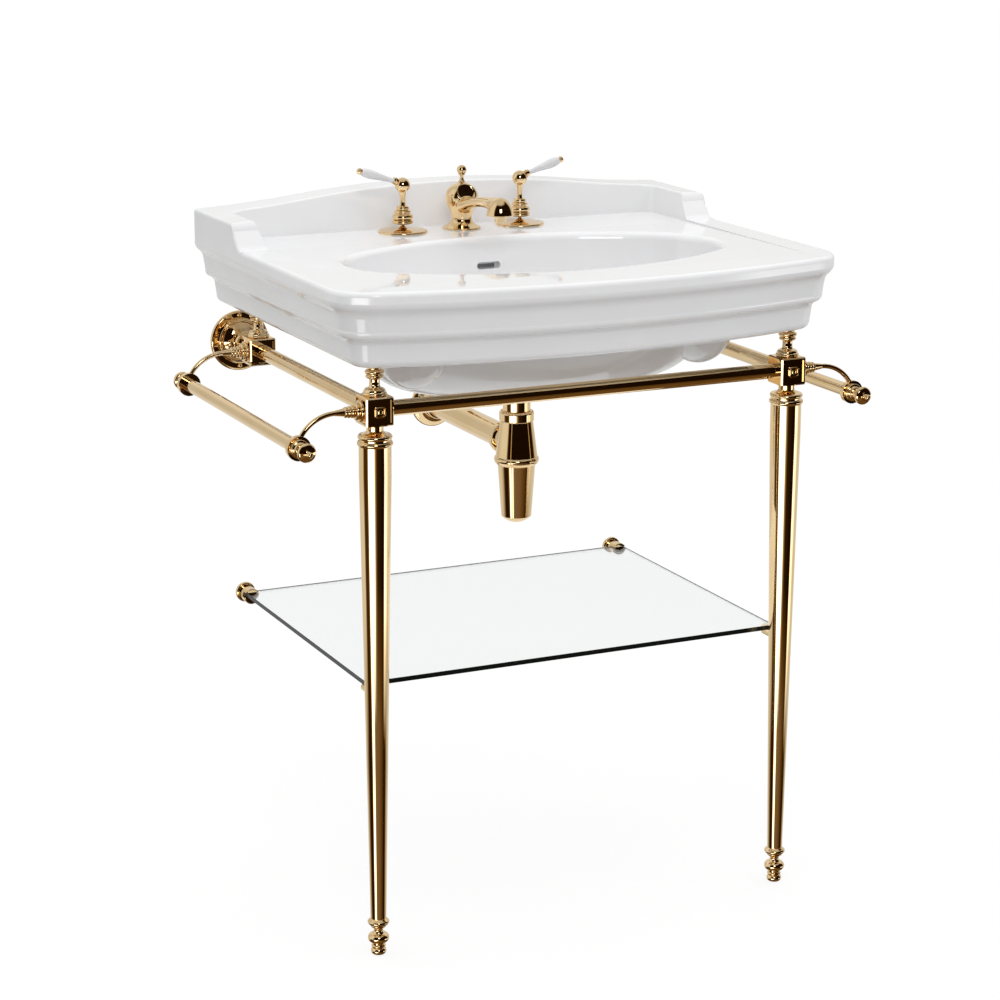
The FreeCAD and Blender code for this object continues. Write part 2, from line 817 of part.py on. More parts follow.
def build_shelf_socket(side):
    """A turned socket on the wall, slotted for the glass's rear corner."""
    body = turned("shelf_socket_" + side, "13.4", [
        ("to", "13.4", "2.6"),
        ("bead", "11.4", "2", "11.4"),
        ("to", "11.4", "2"),
        ("to", "9.6", "0"),
        ("to", "9.6", "8"),
        ("to", "10.6", "0"),
        ("to", "10.6", "12"),
        ("bead", "9.2", "1.4", "9.2"),
    ])
    slot = new_sketch(body, "slot", "YZ")
    low, high = "socket_drop - glass_thick / 2 - 0.2", "socket_drop + glass_thick / 2 + 0.2"
    deep = "glass_wall_gap - 0.2"
    draw(slot, [(low, deep), (high, deep), (high, "40"), (low, "40")])
    feature(body, "Pocket", "slot_cut", slot, Midplane=True, Length="60")
    x = ends_of_x[side] + "socket_x"
    return place(body, x, "wall_y", "glass_z + glass_thick / 2 - socket_drop", toward_front)


# ---------------------------------------------------------------- basin

basin_front = "(wall_y - basin_depth)"
bow_y = "(wall_y - basin_depth + front_bow)"


def corner_y():
    """Where the centre of a front corner's arc lies, tangent to side and bow."""
    reach = value("front_bow - corner_bend")
    across = value("basin_half - corner_bend")
    return value(bow_y) - math.sqrt(reach ** 2 - across ** 2)


def plan(sketch, inset, rear):
    """Plan outline of the basin: two straight sides, round corners, bowed front."""
    half = value("basin_half - (%s)" % inset)
    bend = value("corner_bend - (%s)" % inset)
    bow = value("front_bow - (%s)" % inset)
    back = value(rear)
    centre_y = corner_y()
    corner_x = half - bend
    lean = math.atan2(corner_x, value(bow_y) - centre_y)
    up = Vector(0, 0, 1)
    right_bend = Part.ArcOfCircle(Part.Circle(Vector(corner_x, centre_y, 0), up, bend),
                                  lean - math.pi / 2, 0)
    left_bend = Part.ArcOfCircle(Part.Circle(Vector(-corner_x, centre_y, 0), up, bend),
                                 math.pi, 1.5 * math.pi - lean)
    front = Part.ArcOfCircle(Part.Circle(Vector(0, value(bow_y), 0), up, bow),
                             -math.pi / 2 - lean, lean - math.pi / 2)
    left = sketch.addGeometry(Part.LineSegment(Vector(-half, back, 0), Vector(-half, centre_y, 0)))
    first = sketch.addGeometry(left_bend)
    middle = sketch.addGeometry(front)
    second = sketch.addGeometry(right_bend)
    right = sketch.addGeometry(Part.LineSegment(Vector(half, centre_y, 0), Vector(half, back, 0)))
    for one, two in ((left, first), (first, middle), (middle, second), (second, right)):
        constrain(sketch, "Tangent", one, 2, two, 1)
    pin(sketch, left, 1, "-(basin_half - (%s))" % inset, rear)
    pin(sketch, right, 2, "basin_half - (%s)" % inset, rear)
    constrain(sketch, "Vertical", left)
    constrain(sketch, "Vertical", right)
    pin(sketch, middle, 3, "0", bow_y)
    constrain(sketch, "Radius", middle, size="front_bow - (%s)" % inset)
    constrain(sketch, "Radius", first, size="corner_bend - (%s)" % inset)
    constrain(sketch, "Radius", second, size="corner_bend - (%s)" % inset)
    return left, right


def closed_plan(body, name, inset, rear, offset):
    sketch = new_sketch(body, name, "XY", offset)
    left, right = plan(sketch, inset, rear)
    half, back = value("basin_half - (%s)" % inset), value(rear)
    line = sketch.addGeometry(Part.LineSegment(Vector(half, back, 0), Vector(-half, back, 0)))
    constrain(sketch, "Coincident", right, 2, line, 1)
    constrain(sketch, "Coincident", line, 2, left, 1)
    return sketch


def skirt(body):
    """The three moulded tiers, swept round the sides and the front."""
    path = new_sketch(body, "skirt_path", "XY", "skirt_z")
    plan(path, "0", "wall_y")
    section = new_sketch(body, "skirt_section", "XZ", "-wall_y")

    def at(inset, height, *bend):
        return ("-(basin_half - (%s))" % inset, height) + bend
    draw(section, [
        at("tier_three + 3", "skirt_z", "11"),
        at("tier_three + clay + 6", "skirt_z"),
        at("tier_three + clay", "skirt_z + 14"),
        at("tier_two + clay - 8", "rim_z - 38"),
        at("tier_two + clay - 8", "rim_z - clay"),
        at("tier_two + clay + 6", "rim_z - clay"),
        at("tier_two + clay + 6", "rim_z"),
        at("rim_round", "rim_z"),
        at("0", "rim_z - rim_round", "rim_round"),
        at("0", "rim_z - 14"),
        at("tier_one / 2", "rim_z - 23.5", "14"),
        at("tier_one", "rim_z - 33", "-14"),
        at("tier_one + 2.6", "rim_z - 49"),
        at("tier_one + 7", "rim_z - 58.5", "9"),
        at("tier_two", "rim_z - 66", "-12"),
        at("tier_two + 2.5", "skirt_z + 10"),
    ])
    pipe = body.newObject("PartDesign::AdditivePipe", "basin_skirt")
    pipe.Profile = section
    pipe.Spine = (path, ["Edge%d" % number for number in range(1, 6)])


def oval(body, name, half, reach, centre_y, height):
    """An oval of four tangent arcs: two round ends, two flatter sides."""
    sketch = new_sketch(body, name, "XY", height)
    bend = "((%s) * oval_fullness)" % reach
    flat = "(((%s) - %s)^2 + (%s)^2 - %s^2) / (2 * ((%s) - %s))" % (half, bend, reach, bend, reach, bend)
    a, b, end, wide, y = (value(text) for text in (half, reach, bend, flat, centre_y))
    up = Vector(0, 0, 1)
    lean = math.atan2(wide - b, a - end)
    centres = (Vector(a - end, y, 0), Vector(0, y - (wide - b), 0),
               Vector(end - a, y, 0), Vector(0, y + (wide - b), 0))
    turns = (-lean, lean, math.pi - lean, math.pi + lean, 2 * math.pi - lean)
    arcs = []
    for index in range(4):
        ring = Part.Circle(centres[index], up, wide if index % 2 else end)
        arcs.append(sketch.addGeometry(Part.ArcOfCircle(ring, turns[index], turns[index + 1])))
    for index in range(4):
        constrain(sketch, "Tangent", arcs[index], 2, arcs[(index + 1) % 4], 1)
        constrain(sketch, "Radius", arcs[index], size=flat if index % 2 else bend)
    pin(sketch, arcs[0], 3, "(%s) - %s" % (half, bend), centre_y)
    pin(sketch, arcs[2], 3, "%s - (%s)" % (bend, half), centre_y)
    return sketch


# Rows down the bowl: share of its depth, of its half width and of its reach
# front to rear, and share of the way from the bowl's middle to the drain.
bowl_rows = [
    (0.0, 1.0, 1.0, 0.0),
    (0.17, 0.985, 0.98, 0.0),
    (0.42, 0.945, 0.93, 0.0),
    (0.69, 0.86, 0.835, 0.08),
    (0.845, 0.76, 0.73, 0.2),
    (0.94, 0.6, 0.585, 0.38),
    (0.98, 0.36, 0.42, 0.7),
    (1.0, 0.136, 0.21, 1.0),
]


def row_sizes(row):
    """Half width, reach, middle and height of one row of the bowl's inside."""
    down, wide, deep, drift = row
    return ("bowl_half * %g" % wide, "bowl_reach * %g" % deep,
            "bowl_y + (drain_y - bowl_y) * %g" % drift, "rim_z + 0.5 - bowl_drop * %g" % down)


def loft(body, kind, name, sections):
    made = body.newObject("PartDesign::" + kind, "basin_" + name)
    made.Profile = sections[0]
    made.Sections = sections[1:]
    return made


def bowl_outside(body):
    sections = []
    for index, row in enumerate(bowl_rows):
        half, reach, middle, height = row_sizes(row)
        height = "rim_z - clay / 2" if index == 0 else "%s - clay * %g" % (height, row[0])
        sections.append(oval(body, "belly_%d" % index, half + " + clay", reach + " + clay", middle, height))
    loft(body, "AdditiveLoft", "belly", sections)


def bowl_inside(body):
    sections = [oval(body, "bowl_%d" % index, *row_sizes(row)) for index, row in enumerate(bowl_rows)]
    loft(body, "SubtractiveLoft", "bowl", sections)


def behind_bowl(gap, rows, drop="0"):
    """Points down the bowl's rear wall, that far behind it."""
    points = []
    for row in rows:
        half, reach, middle, height = row_sizes(row)
        points.append(("%s + %s + %s" % (middle, reach, gap), "%s - %s" % (height, drop)))
    return points


def overflow_duct(body):
    """The moulded bulge down the rear of the bowl that carries the overflow."""
    sketch = new_sketch(body, "duct", "YZ")
    outer = behind_bowl("clay + 18", bowl_rows[1:6], "2")
    draw(sketch, [("bowl_y", "rim_z - clay")] + [("drain_y + 32", "rim_z - bowl_drop - clay - 1.5")] +
         [("drain_y + 72", "rim_z - bowl_drop - clay - 1.5")] + outer[::-1] +
         [("bowl_y + bowl_reach + clay + 18", "rim_z - clay")])
    feature(body, "Pad", "duct_pad", sketch, Midplane=True, Length="overflow_wide + 2 * clay - 8")


def overflow_channel(body):
    """The passage inside that bulge, from the slot to the drain hole."""
    sketch = new_sketch(body, "channel", "YZ")
    low = "rim_z - bowl_drop - 10.5"
    top = "overflow_z + overflow_tall / 2"
    inner = behind_bowl("10", bowl_rows[2:5])
    outer = behind_bowl("23", bowl_rows[2:5])
    draw(sketch, [("bowl_y + bowl_reach + 8", top)] + inner +
         [("drain_y + 62", low + " + 6"), ("drain_y", low + " + 6"), ("drain_y", low),
          ("drain_y + 68", low)] + outer[::-1] + [("bowl_y + bowl_reach + 21", top)])
    feature(body, "Pocket", "channel_cut", sketch, Midplane=True, Length="overflow_wide - 8")
    slot = new_sketch(body, "slot", "XZ", "-(bowl_y + bowl_reach - 2)")
    flat = "(overflow_wide - overflow_tall) / 2"
    lip, bend = "overflow_z - overflow_tall / 2", "overflow_tall * 0.51"
    draw(slot, [(flat, lip), (flat, top, bend), ("-" + flat, top), ("-" + flat, lip, bend)])
    feature(body, "Pocket", "slot_cut", slot, Midplane=True, Length="18")


def splashback(body):
    """The upstand along the wall with its two short wings."""
    block = new_sketch(body, "upstand", "XY", "rim_z - 10")
    front = "wall_y - wing_run - 12"
    draw(block, [("-basin_half", front), ("basin_half", front), ("basin_half", "wall_y"),
                 ("-basin_half", "wall_y")])
    feature(body, "Pad", "upstand_pad", block, Length="splash_top - rim_z + 12")
    arch = new_sketch(body, "arch", "XZ", "-wall_y")
    high = "splash_top + 20"
    crown = "((arch_reach^2 + arch_drop^2) / (2 * arch_drop))"
    edge = "(basin_half + 1)"
    draw(arch, [("-" + edge, high), ("-" + edge, "splash_end"),
                ("-arch_reach", "splash_top - arch_drop", "arch_blend"),
                ("arch_reach", "splash_top - arch_drop", "-" + crown),
                (edge, "splash_end", "arch_blend"), (edge, high)])
    feature(body, "Pocket", "arch_cut", arch, Midplane=True, Length="2 * wing_run + 80")
    wing = new_sketch(body, "wing", "YZ")
    foot = "wall_y - wing_run"
    draw(wing, [("wall_y - wing_run - 60", "rim_z"), (foot + " - 8", "rim_z"),
                (foot + " + 4", "rim_z + 5", "16"), (foot + " + 19", "rim_z + 21"),
                (foot + " + 34", "splash_end + 4", "-22"), (foot + " + 34", high),
                ("wall_y - wing_run - 60", high)])
    feature(body, "Pocket", "wing_cut", wing, Midplane=True, Length="4 * basin_half")


def tray(body):
    """The sloped inner faces of the upstand, down to the tap ledge."""
    sections = []
    for name, height, half, rear, bend in (
            ("foot", "ledge_z", "basin_half - wing_wide - 7", "splash_thick + splash_slope", "24"),
            ("lip", "splash_top + 6", "basin_half - wing_wide + 8", "splash_thick - 4", "14")):
        sketch = new_sketch(body, "tray_" + name, "XY", height)
        front = "wall_y - wing_run"
        far = "wall_y - (%s)" % rear
        near = "%s - %s" % (far, bend)
        draw(sketch, [("-(%s)" % half, front), (half, front), (half, near),
                      ("%s - %s" % (half, bend), far, bend), ("-(%s - %s)" % (half, bend), far),
                      ("-(%s)" % half, near, bend)])
        sections.append(sketch)
    loft(body, "SubtractiveLoft", "tray", sections)
    fall = new_sketch(body, "fall", "YZ")
    draw(fall, [("wall_y - wing_run", "ledge_z"), ("wall_y - wing_run", "rim_z + 5"),
                (basin_front + " + 70", "rim_z + 5"), (basin_front + " + 70", "rim_z")])
    feature(body, "Pocket", "fall_cut", fall, Midplane=True, Length="2 * (basin_half - wing_wide - 7)")


def round_edges(body):
    """Cast china has no sharp edge: bowl rim, top of the upstand, ends of its wings."""
    rim, foot = value("rim_z"), value("wall_y - wing_run")
    half, reach = value("basin_half"), value("bowl_reach + 1")
    bowl_side, bowl_middle = value("bowl_half + 1"), value("bowl_y")

    def on_bowl_rim(point, length):
        inside = abs(point.x) < bowl_side and abs(point.y - bowl_middle) < reach
        return inside and length > 100 and abs(point.z - rim) < 3.5

    def on_upstand_top(point, length):
        return length > 20 and point.z > value("splash_end") - 0.5 and point.y < value("wall_y") - 0.5

    def on_wing_end(point, length):
        beside = abs(abs(point.x) - half) < 0.1 and foot - 12.5 < point.y < foot + 27.5
        return length > 8 and beside and point.z > rim - 0.5
    soften(body, "bowl_rim", "bowl_round", on_bowl_rim)
    soften(body, "upstand_top", "upstand_round", on_upstand_top)
    soften(body, "wing_ends", "upstand_round", on_wing_end)


def build_basin():
    body = new_body("basin")
    skirt(body)
    deck = closed_plan(body, "deck", "tier_two", "wall_y", "rim_z - clay")
    feature(body, "Pad", "deck_pad", deck, Length="clay")
    seat = closed_plan(body, "seat", "tier_three + 6", "wall_y", "skirt_z")
    feature(body, "Pad", "seat_pad", seat, Length="bearing_thick")
    window = new_sketch(body, "window", "XY", "skirt_z")
    near, far = basin_front + " + 64", "wall_y - clay"
    draw(window, [("-bearing_x", near), ("bearing_x", near), ("bearing_x", far), ("-bearing_x", far)])
    feature(body, "Pocket", "window_cut", window, Midplane=True, Length="2 * bearing_thick + 2")
    back = new_sketch(body, "back", "XY", "skirt_z")
    reach = "basin_half - tier_three - 8"
    draw(back, [("-(%s)" % reach, far), (reach, far), (reach, "wall_y"), ("-(%s)" % reach, "wall_y")])
    feature(body, "Pad", "back_pad", back, Length="rim_z - skirt_z - clay / 2")
    bowl_outside(body)
    for sign in ("-", ""):
        lobe = body.newObject("PartDesign::AdditiveEllipsoid", "basin_lobe")
        for key, text in (("Radius1", "lobe_tall"), ("Radius2", "lobe_wide"),
                          ("Radius3", "lobe_deep"), ("Placement.Base.x", sign + "lobe_x"),
                          ("Placement.Base.y", "lobe_y"), ("Placement.Base.z", "lobe_z")):
            lobe.setExpression(key, bound(text))
    overflow_duct(body)
    splashback(body)
    bowl_inside(body)
    tray(body)
    round_edges(body)
    overflow_channel(body)
    floor = "rim_z + 0.5 - bowl_drop"
    cut_round(body, "drain", "XY", [("0", "drain_y")], "drain_hole", floor, "30")
    cut_round(body, "drain_seat", "XY", [("0", "drain_y")], "waste_flange_r + 1", floor, "waste_seat")
    taps = [("-tap_x", "tap_y"), ("0", "tap_y"), ("tap_x", "tap_y")]
    cut_round(body, "tap_holes", "XY", taps, "tap_hole", "ledge_z", "40")
    bolts = [("-wall_bolt_x", "wall_bolt_z"), ("wall_bolt_x", "wall_bolt_z")]
    cut_round(body, "wall_bolts", "XZ", bolts, "wall_bolt_hole", "-wall_y", "clay + 6")
    return body
# ---------------------------------------------------------------- waste

basin_low = "(floor_z - clay)"
ball_y = "(drain_y + port_ball_y)"
strap_y = "(tap_y - strap_offset)"
arm_tip_z = "(port_z - (tap_y - strap_offset - drain_y - port_ball_y) * tan(pivot_tilt * 1deg))"
stem_z = "(port_z + (port_ball_y + stem_r) * tan(pivot_tilt * 1deg) + pivot_r * 1.0056 + 0.1)"
middle = [("0", "0")]


def ring(label, inner, outer, height):
    """A plain washer, seal or collar."""
    return turned(label, outer, [("to", outer, height)], bore=inner)


def hex_nut(label, inner, flat, height):
    """A hexagonal nut; flat is half the distance across its flats."""
    body = new_body(label)
    sketch = new_sketch(body, "hexagon", "XY")
    corner, half = "(%s) * 1.1547" % flat, "(%s) * 0.57735" % flat
    draw(sketch, [(corner, "0"), (half, flat), ("-" + half, flat), ("-" + corner, "0"),
                  ("-" + half, "-" + flat), (half, "-" + flat)])
    feature(body, "Pad", "hexagon_pad", sketch, Length=height)
    cut_round(body, "bore", "XY", middle, inner, "0", "(%s) + 1" % height)
    return body


def at_drain(body, z):
    return place(body, "0", "drain_y", z)


def build_waste_body():
    """Flanged tube from the bowl's floor to the trap, with a port for the pop-up's rod."""
    body = turned("waste_body", "tail_r", [
        ("upto", "tail_r", "thread_z - tail_low"),
        ("to", "thread_r", "0"),
        ("upto", "thread_r", "floor_z - waste_seat - tail_low"),
        ("to", "waste_flange_r", "0"),
        ("to", "waste_flange_r", "0.8"),
        ("bead", "waste_flange_r - 2", "1.7", "waste_flange_r - 2"),
    ])
    port = "port_z - tail_low"
    boss = new_sketch(body, "port", "XZ")
    circle(boss, "0", port, "port_r")
    feature(body, "Pad", "port_pad", boss, Length="port_run", Reversed=True)
    hollow(body, "bore", "-1", "tail_bore", [
        ("upto", "tail_bore", "floor_z - tail_low - 8"),
        ("cove", "tail_bore + 6", "9", "tail_bore + 9.75"),
        ("to", "tail_bore + 6", "1"),
    ])
    ball = "port_ball_r + fit_gap"
    cut_round(body, "ball_bore", "XZ", [("0", port)], ball, "-port_run", "port_run - port_ball_y + 3.4")
    cut_round(body, "lever_bore", "XZ", [("0", port)], "4.2", "-port_run", "port_run - 10")
    slots = new_sketch(body, "overflow_ports", "YZ")
    low, high = "floor_z - tail_low - 11", "floor_z - tail_low - 5"
    wide = "(thread_r + 2)"
    draw(slots, [("-" + wide, low), (wide, low), (wide, high), ("-" + wide, high)])
    feature(body, "Pocket", "overflow_ports_cut", slots, Midplane=True, Length="9")
    return at_drain(body, "tail_low")


def build_waste_washer():
    return at_drain(ring("waste_washer", "thread_r + 0.2", "27", "washer_thick"),
                    basin_low + " - washer_thick")


def build_waste_nut():
    return at_drain(hex_nut("waste_nut", "thread_r + fit_gap", "24", "waste_nut_tall"),
                    basin_low + " - washer_thick - waste_nut_tall")


def build_plug():
    """The pop-up plug with its guide vanes, resting on the rod's inner end."""
    body = turned("pop_up_plug", "stem_r", [
        ("upto", "stem_r", "floor_z - 2.3 - " + stem_z),
        ("to", "plug_r", "0"),
        ("to", "plug_r", "7.3"),
        ("to", "plug_r + 5.9", "0"),
        ("to", "plug_r + 5.9", "1.4"),
        ("bead", "0", "4", "0"),
    ])
    reach, top = "(tail_bore - 0.6)", "(floor_z - 2 - " + stem_z + ")"
    for name, plane in (("vane_x", "XZ"), ("vane_y", "YZ")):
        vane = new_sketch(body, name, plane)
        draw(vane, [("-" + reach, top + " - 18"), (reach, top + " - 18"), (reach, top), ("-" + reach, top)])
        feature(body, "Pad", name + "_pad", vane, Midplane=True, Length="1.6")
    return at_drain(body, stem_z)


def build_plug_seal():
    return at_drain(ring("plug_seal", "plug_r + fit_gap", "plug_r + 2.8", "2.8"), "floor_z + 2.1")


def build_pivot_rod():
    """The rod through the port: a ball, a short lever inside and a long arm outside."""
    body = new_body("pivot_rod")
    sketch = new_sketch(body, "profile", "XZ")
    shoulder = "sqrt(port_ball_r^2 - pivot_r^2)"
    turning(sketch, "pivot_r", [
        ("upto", "pivot_r", "port_ball_y + 3 - " + shoulder),
        ("bead", "pivot_r", "2 * " + shoulder, "0"),
        ("upto", "pivot_r", strap_y + " - drain_y + 15"),
        ("bead", "0", "pivot_r", "0"),
    ], base="-(port_ball_y + 3)")
    feature(body, "Revolution", "turning", sketch, ReferenceAxis=(sketch, ["V_Axis"]), Angle=360)
    tilt = Rotation(Vector(1, 0, 0), -value("pivot_tilt"))
    return place(body, "0", ball_y, "port_z", tilt * along_y)


def build_pivot_nut():
    body = turned("pivot_nut", "port_r + 3", [("to", "port_r + 3", "port_run - 20.6 + 2.6")])
    cut_round(body, "thread", "XY", middle, "port_r + fit_gap", "0", "port_run - 20.6")
    cut_round(body, "mouth", "XY", middle, "4.4", "0", "20")
    for index in range(12):
        cut_flute(body, index)
    return place(body, "0", "drain_y + 20.6", "port_z", along_y)


def cut_flute(body, index):
    """One of the twelve grip flutes round the pivot nut."""
    turn = math.radians(30 * index)
    flute = body.newObject("PartDesign::SubtractiveCylinder", "pivot_nut_flute")
    flute.Height = 12
    flute.Radius = 1.2
    for axis, part in (("x", math.cos(turn)), ("y", math.sin(turn))):
        flute.setExpression("Placement.Base." + axis, bound("(port_r + 3.7) * %.6f" % part))


def build_lift_rod():
    """The pull rod through the spout, from its ball knob down to the strap."""
    body = turned("lift_rod", "lift_r", [
        ("upto", "lift_r", "dome_top - rod_low"),
        ("to", "4.4", "0"),
        ("to", "4.4", "0.9"),
        ("cove", "2.5", "5.4", "8.6"),
        ("to", "3", "2.7"),
        ("to", "4.2", "0"),
        ("bead", "4.2", "1.5", "3.8"),
        ("bead", "0", "2 * knob_r - 1.6", "0"),
    ])
    return place(body, "0", "tap_y", "rod_low")


def build_lift_strap():
    """The flat strap clamped on the rod's lower end, with its row of holes."""
    body = turned("lift_strap", "lift_r + 3", [("to", "lift_r + 3", "14")], bore="lift_r + fit_gap")
    plate = new_sketch(body, "plate", "XZ", "strap_offset")
    low = "(" + arm_tip_z + " - 12 - rod_low - 3)"
    draw(plate, [("-6", low), ("6", low), ("6", "14"), ("-6", "14")])
    feature(body, "Pad", "plate_pad", plate, Midplane=True, Length="2")
    hole_z = arm_tip_z + " - rod_low - 3"
    holes = [("0", "%s + %d" % (hole_z, 13 * step)) for step in range(5)]
    cut_round(body, "holes", "XZ", holes, "3.4", "strap_offset", "3")
    cut_round(body, "screw_hole", "XZ", [("0", "7")], "2", "-lift_r", "4")
    return place(body, "0", "tap_y", "rod_low + 3")


# ---------------------------------------------------------------- trap

def build_trap_collar():
    body = turned("trap_collar", "tail_r + 3.6", [
        ("bead", "tail_r + 4.6", "1.6", "tail_r + 3"),
        ("to", "tail_r + 4.6", "8"),
        ("bead", "tail_r + 2.4", "4", "tail_r + 0.6"),
    ])
    cut_round(body, "thread", "XY", middle, "neck_r + fit_gap", "0", "collar_deep")
    cut_round(body, "mouth", "XY", middle, "tail_r + fit_gap", "0", "20")
    return at_drain(body, "trap_top_z - 13.6")


def build_trap_body():
    """The cone of the bottle trap with its neck and side outlet."""
    neck_base = "trap_top_z - 13.6 - cup_z"
    body = turned("trap_body", "cup_r + 0.8", [
        ("bead", "trap_cone_r", "7", "trap_cone_r - 8"),
        ("bead", "trap_cone_r - 2", "4", "trap_cone_r - 6"),
        ("upto", "neck_r + 0.8", neck_base),
        ("to", "neck_r", "0"),
        ("to", "neck_r", "collar_deep - 0.2"),
    ])
    arm = new_sketch(body, "outlet", "XZ")
    circle(arm, "0", "trap_arm_z - cup_z", "outlet_r + 2.6")
    feature(body, "Pad", "outlet_pad", arm, Length="outlet_run", Reversed=True)
    hollow(body, "inside", "-1", "cup_r - 2 + fit_gap", [
        ("to", "cup_r - 2 + fit_gap", "11"),
        ("to", "cup_r - 1", "0"),
        ("upto", "neck_r - 3.4", neck_base + " - 7"),
        ("to", "dip_r + fit_gap", "0"),
        ("upto", "dip_r + fit_gap", "tail_low - 2.5 - cup_z + 1"),
        ("to", "tail_r + fit_gap", "0"),
        ("to", "tail_r + fit_gap", "30"),
    ])
    spot_at = [("0", "trap_arm_z - cup_z")]
    cut_round(body, "pipe_socket", "XZ", spot_at, "outlet_r + fit_gap", "-outlet_run", "9")
    cut_round(body, "passage", "XZ", spot_at, "outlet_r - 1.5", "-outlet_run", "outlet_run - 18")
    return at_drain(body, "cup_z")


def build_trap_cup():
    body = turned("trap_cup", "2", [
        ("bead", "cup_low_r", "9", "0"),
        ("upto", "cup_r", "cup_z - cup_low"),
        ("to", "cup_r - 2", "0"),
        ("to", "cup_r - 2", "9"),
    ])
    hollow(body, "inside", "3", "2", [
        ("bead", "cup_low_r - 3", "8", "0"),
        ("upto", "cup_r - 4.4", "cup_z - cup_low - 3"),
        ("to", "cup_r - 4.4", "14"),
    ])
    return at_drain(body, "cup_low")


def build_dip_tube():
    body = turned("dip_tube", "dip_r", [
        ("upto", "dip_r", "tail_low - 2.5 - dip_low"),
        ("to", "tail_r", "0"),
        ("to", "tail_r", "2.5"),
    ], bore="dip_r - 1.2")
    return at_drain(body, "dip_low")


def build_outlet_nut():
    body = turned("outlet_nut", "outlet_r + 4.6", [
        ("bead", "outlet_r + 5.4", "2", "outlet_r + 3"),
        ("to", "outlet_r + 5.4", "7"),
        ("bead", "outlet_r + 3.6", "3", "outlet_r + 2"),
    ])
    cut_round(body, "thread", "XY", middle, "outlet_r + 2.6 + fit_gap", "0", "9")
    cut_round(body, "mouth", "XY", middle, "outlet_r + fit_gap", "0", "20")
    return place(body, "0", "drain_y + outlet_run - 8.8", "trap_arm_z", along_y)


def build_outlet_pipe():
    body = turned("outlet_pipe", "outlet_r", [("to", "outlet_r", "wall_y - drain_y - outlet_run + 8.6")],
                  bore="outlet_r - 1.5")
    return place(body, "0", "drain_y + outlet_run - 8.6", "trap_arm_z", along_y)


def build_wall_cover():
    body = turned("wall_cover", "flange_r", [
        ("to", "flange_r", "1.6"),
        ("bead", "flange_r - 2.4", "3", "flange_r - 3.2"),
        ("cove", "outlet_r + 4", "11", "flange_r + 1"),
        ("to", "outlet_r + 3", "5"),
        ("bead", "outlet_r + 1.6", "1.6", "outlet_r + 1.4"),
    ], bore="outlet_r + fit_gap")
    hollow(body, "inside", "-1", "flange_r - 3", [
        ("to", "flange_r - 3", "2.6"),
        ("to", "outlet_r + 1.6", "10"),
    ])
    return place(body, "0", "wall_y", "trap_arm_z", toward_front)


# ---------------------------------------------------------------- taps

def at_tap(body, side, z, turn=None, drop="0"):
    return place(body, ends_of_x[side] + "tap_x", "tap_y - " + drop, z, turn)


def build_valve_body(side):
    """Inlet tail, water chamber and threaded shank in one casting."""
    body = turned("valve_body_" + side, "inlet_r", [
        ("to", "inlet_r", "inlet_run"),
        ("to", "chamber_r", "0"),
        ("upto", "chamber_r", "chamber_top - inlet_z"),
        ("to", "valve_r", "0"),
        ("upto", "valve_r", "ledge_z + 1.5 - inlet_z"),
    ])
    cut_round(body, "waterway", "XY", middle, "inlet_r - 3", "0", "cartridge_z - inlet_z")
    cut_round(body, "seat", "XY", middle, "cartridge_r + fit_gap", "cartridge_z - inlet_z + 30", "30")
    inward = "" if side == "left" else "-"
    port = [("-cross_drop", "cross_z - inlet_z")]
    cut_round(body, "side_port", "YZ", port, "cross_r + fit_gap", inward + "chamber_r", "5.5")
    cut_round(body, "side_way", "YZ", port, "cross_r - 1", inward + "chamber_r", "chamber_r - 2")
    return at_tap(body, side, "inlet_z")


def build_cartridges():
    """The two turning cartridges that the valve bodies hold."""
    made = []
    for side in sides:
        body = turned("cartridge_" + side, "cartridge_r", [
            ("upto", "cartridge_r", "ledge_z + 1 - cartridge_z"),
        ])
        cut_round(body, "spindle_bore", "XY", middle, "spindle_r + fit_gap", "40", "35")
        cut_round(body, "window", "XZ", [("0", "2.5")], "2", "0", "20")
        made.append(at_tap(body, side, "cartridge_z"))
    return group("cartridges", made)


def build_deck_washers():
    made = []
    for name, x, inner in (("left", "-tap_x", "valve_r"), ("middle", "0", "shank_r"), ("right", "tap_x", "valve_r")):
        washer = ring("deck_washer_" + name, inner + " + 0.2", "22", "washer_thick")
        made.append(place(washer, x, "tap_y", "rim_z - clay - washer_thick"))
    return group("deck_washers", made)


def build_deck_nuts():
    made = []
    for name, x, inner in (("left", "-tap_x", "valve_r"), ("middle", "0", "shank_r"), ("right", "tap_x", "valve_r")):
        nut = hex_nut("deck_nut_" + name, inner + " + fit_gap", "18", "deck_nut_tall")
        made.append(place(nut, x, "tap_y", "rim_z - clay - washer_thick - deck_nut_tall"))
    return group("deck_nuts", made)


def build_escutcheon(side):
    body = turned("escutcheon_" + side, "escutcheon_r", [
        ("to", "escutcheon_r", "1.4"),
        ("bead", "escutcheon_r - 1.8", "1.6", "escutcheon_r - 2"),
        ("to", "15", "1.5"),
        ("to", "11.4", "0.3"),
    ])
    hollow(body, "inside", "-1", "escutcheon_r - 2.4", [
        ("to", "escutcheon_r - 2.4", "2.2"),
        ("to", "valve_r + 1", "1.4"),
    ])
    cut_round(body, "spindle_hole", "XY", middle, "spindle_r + 0.6", "0", "20")
    return at_tap(body, side, "ledge_z")


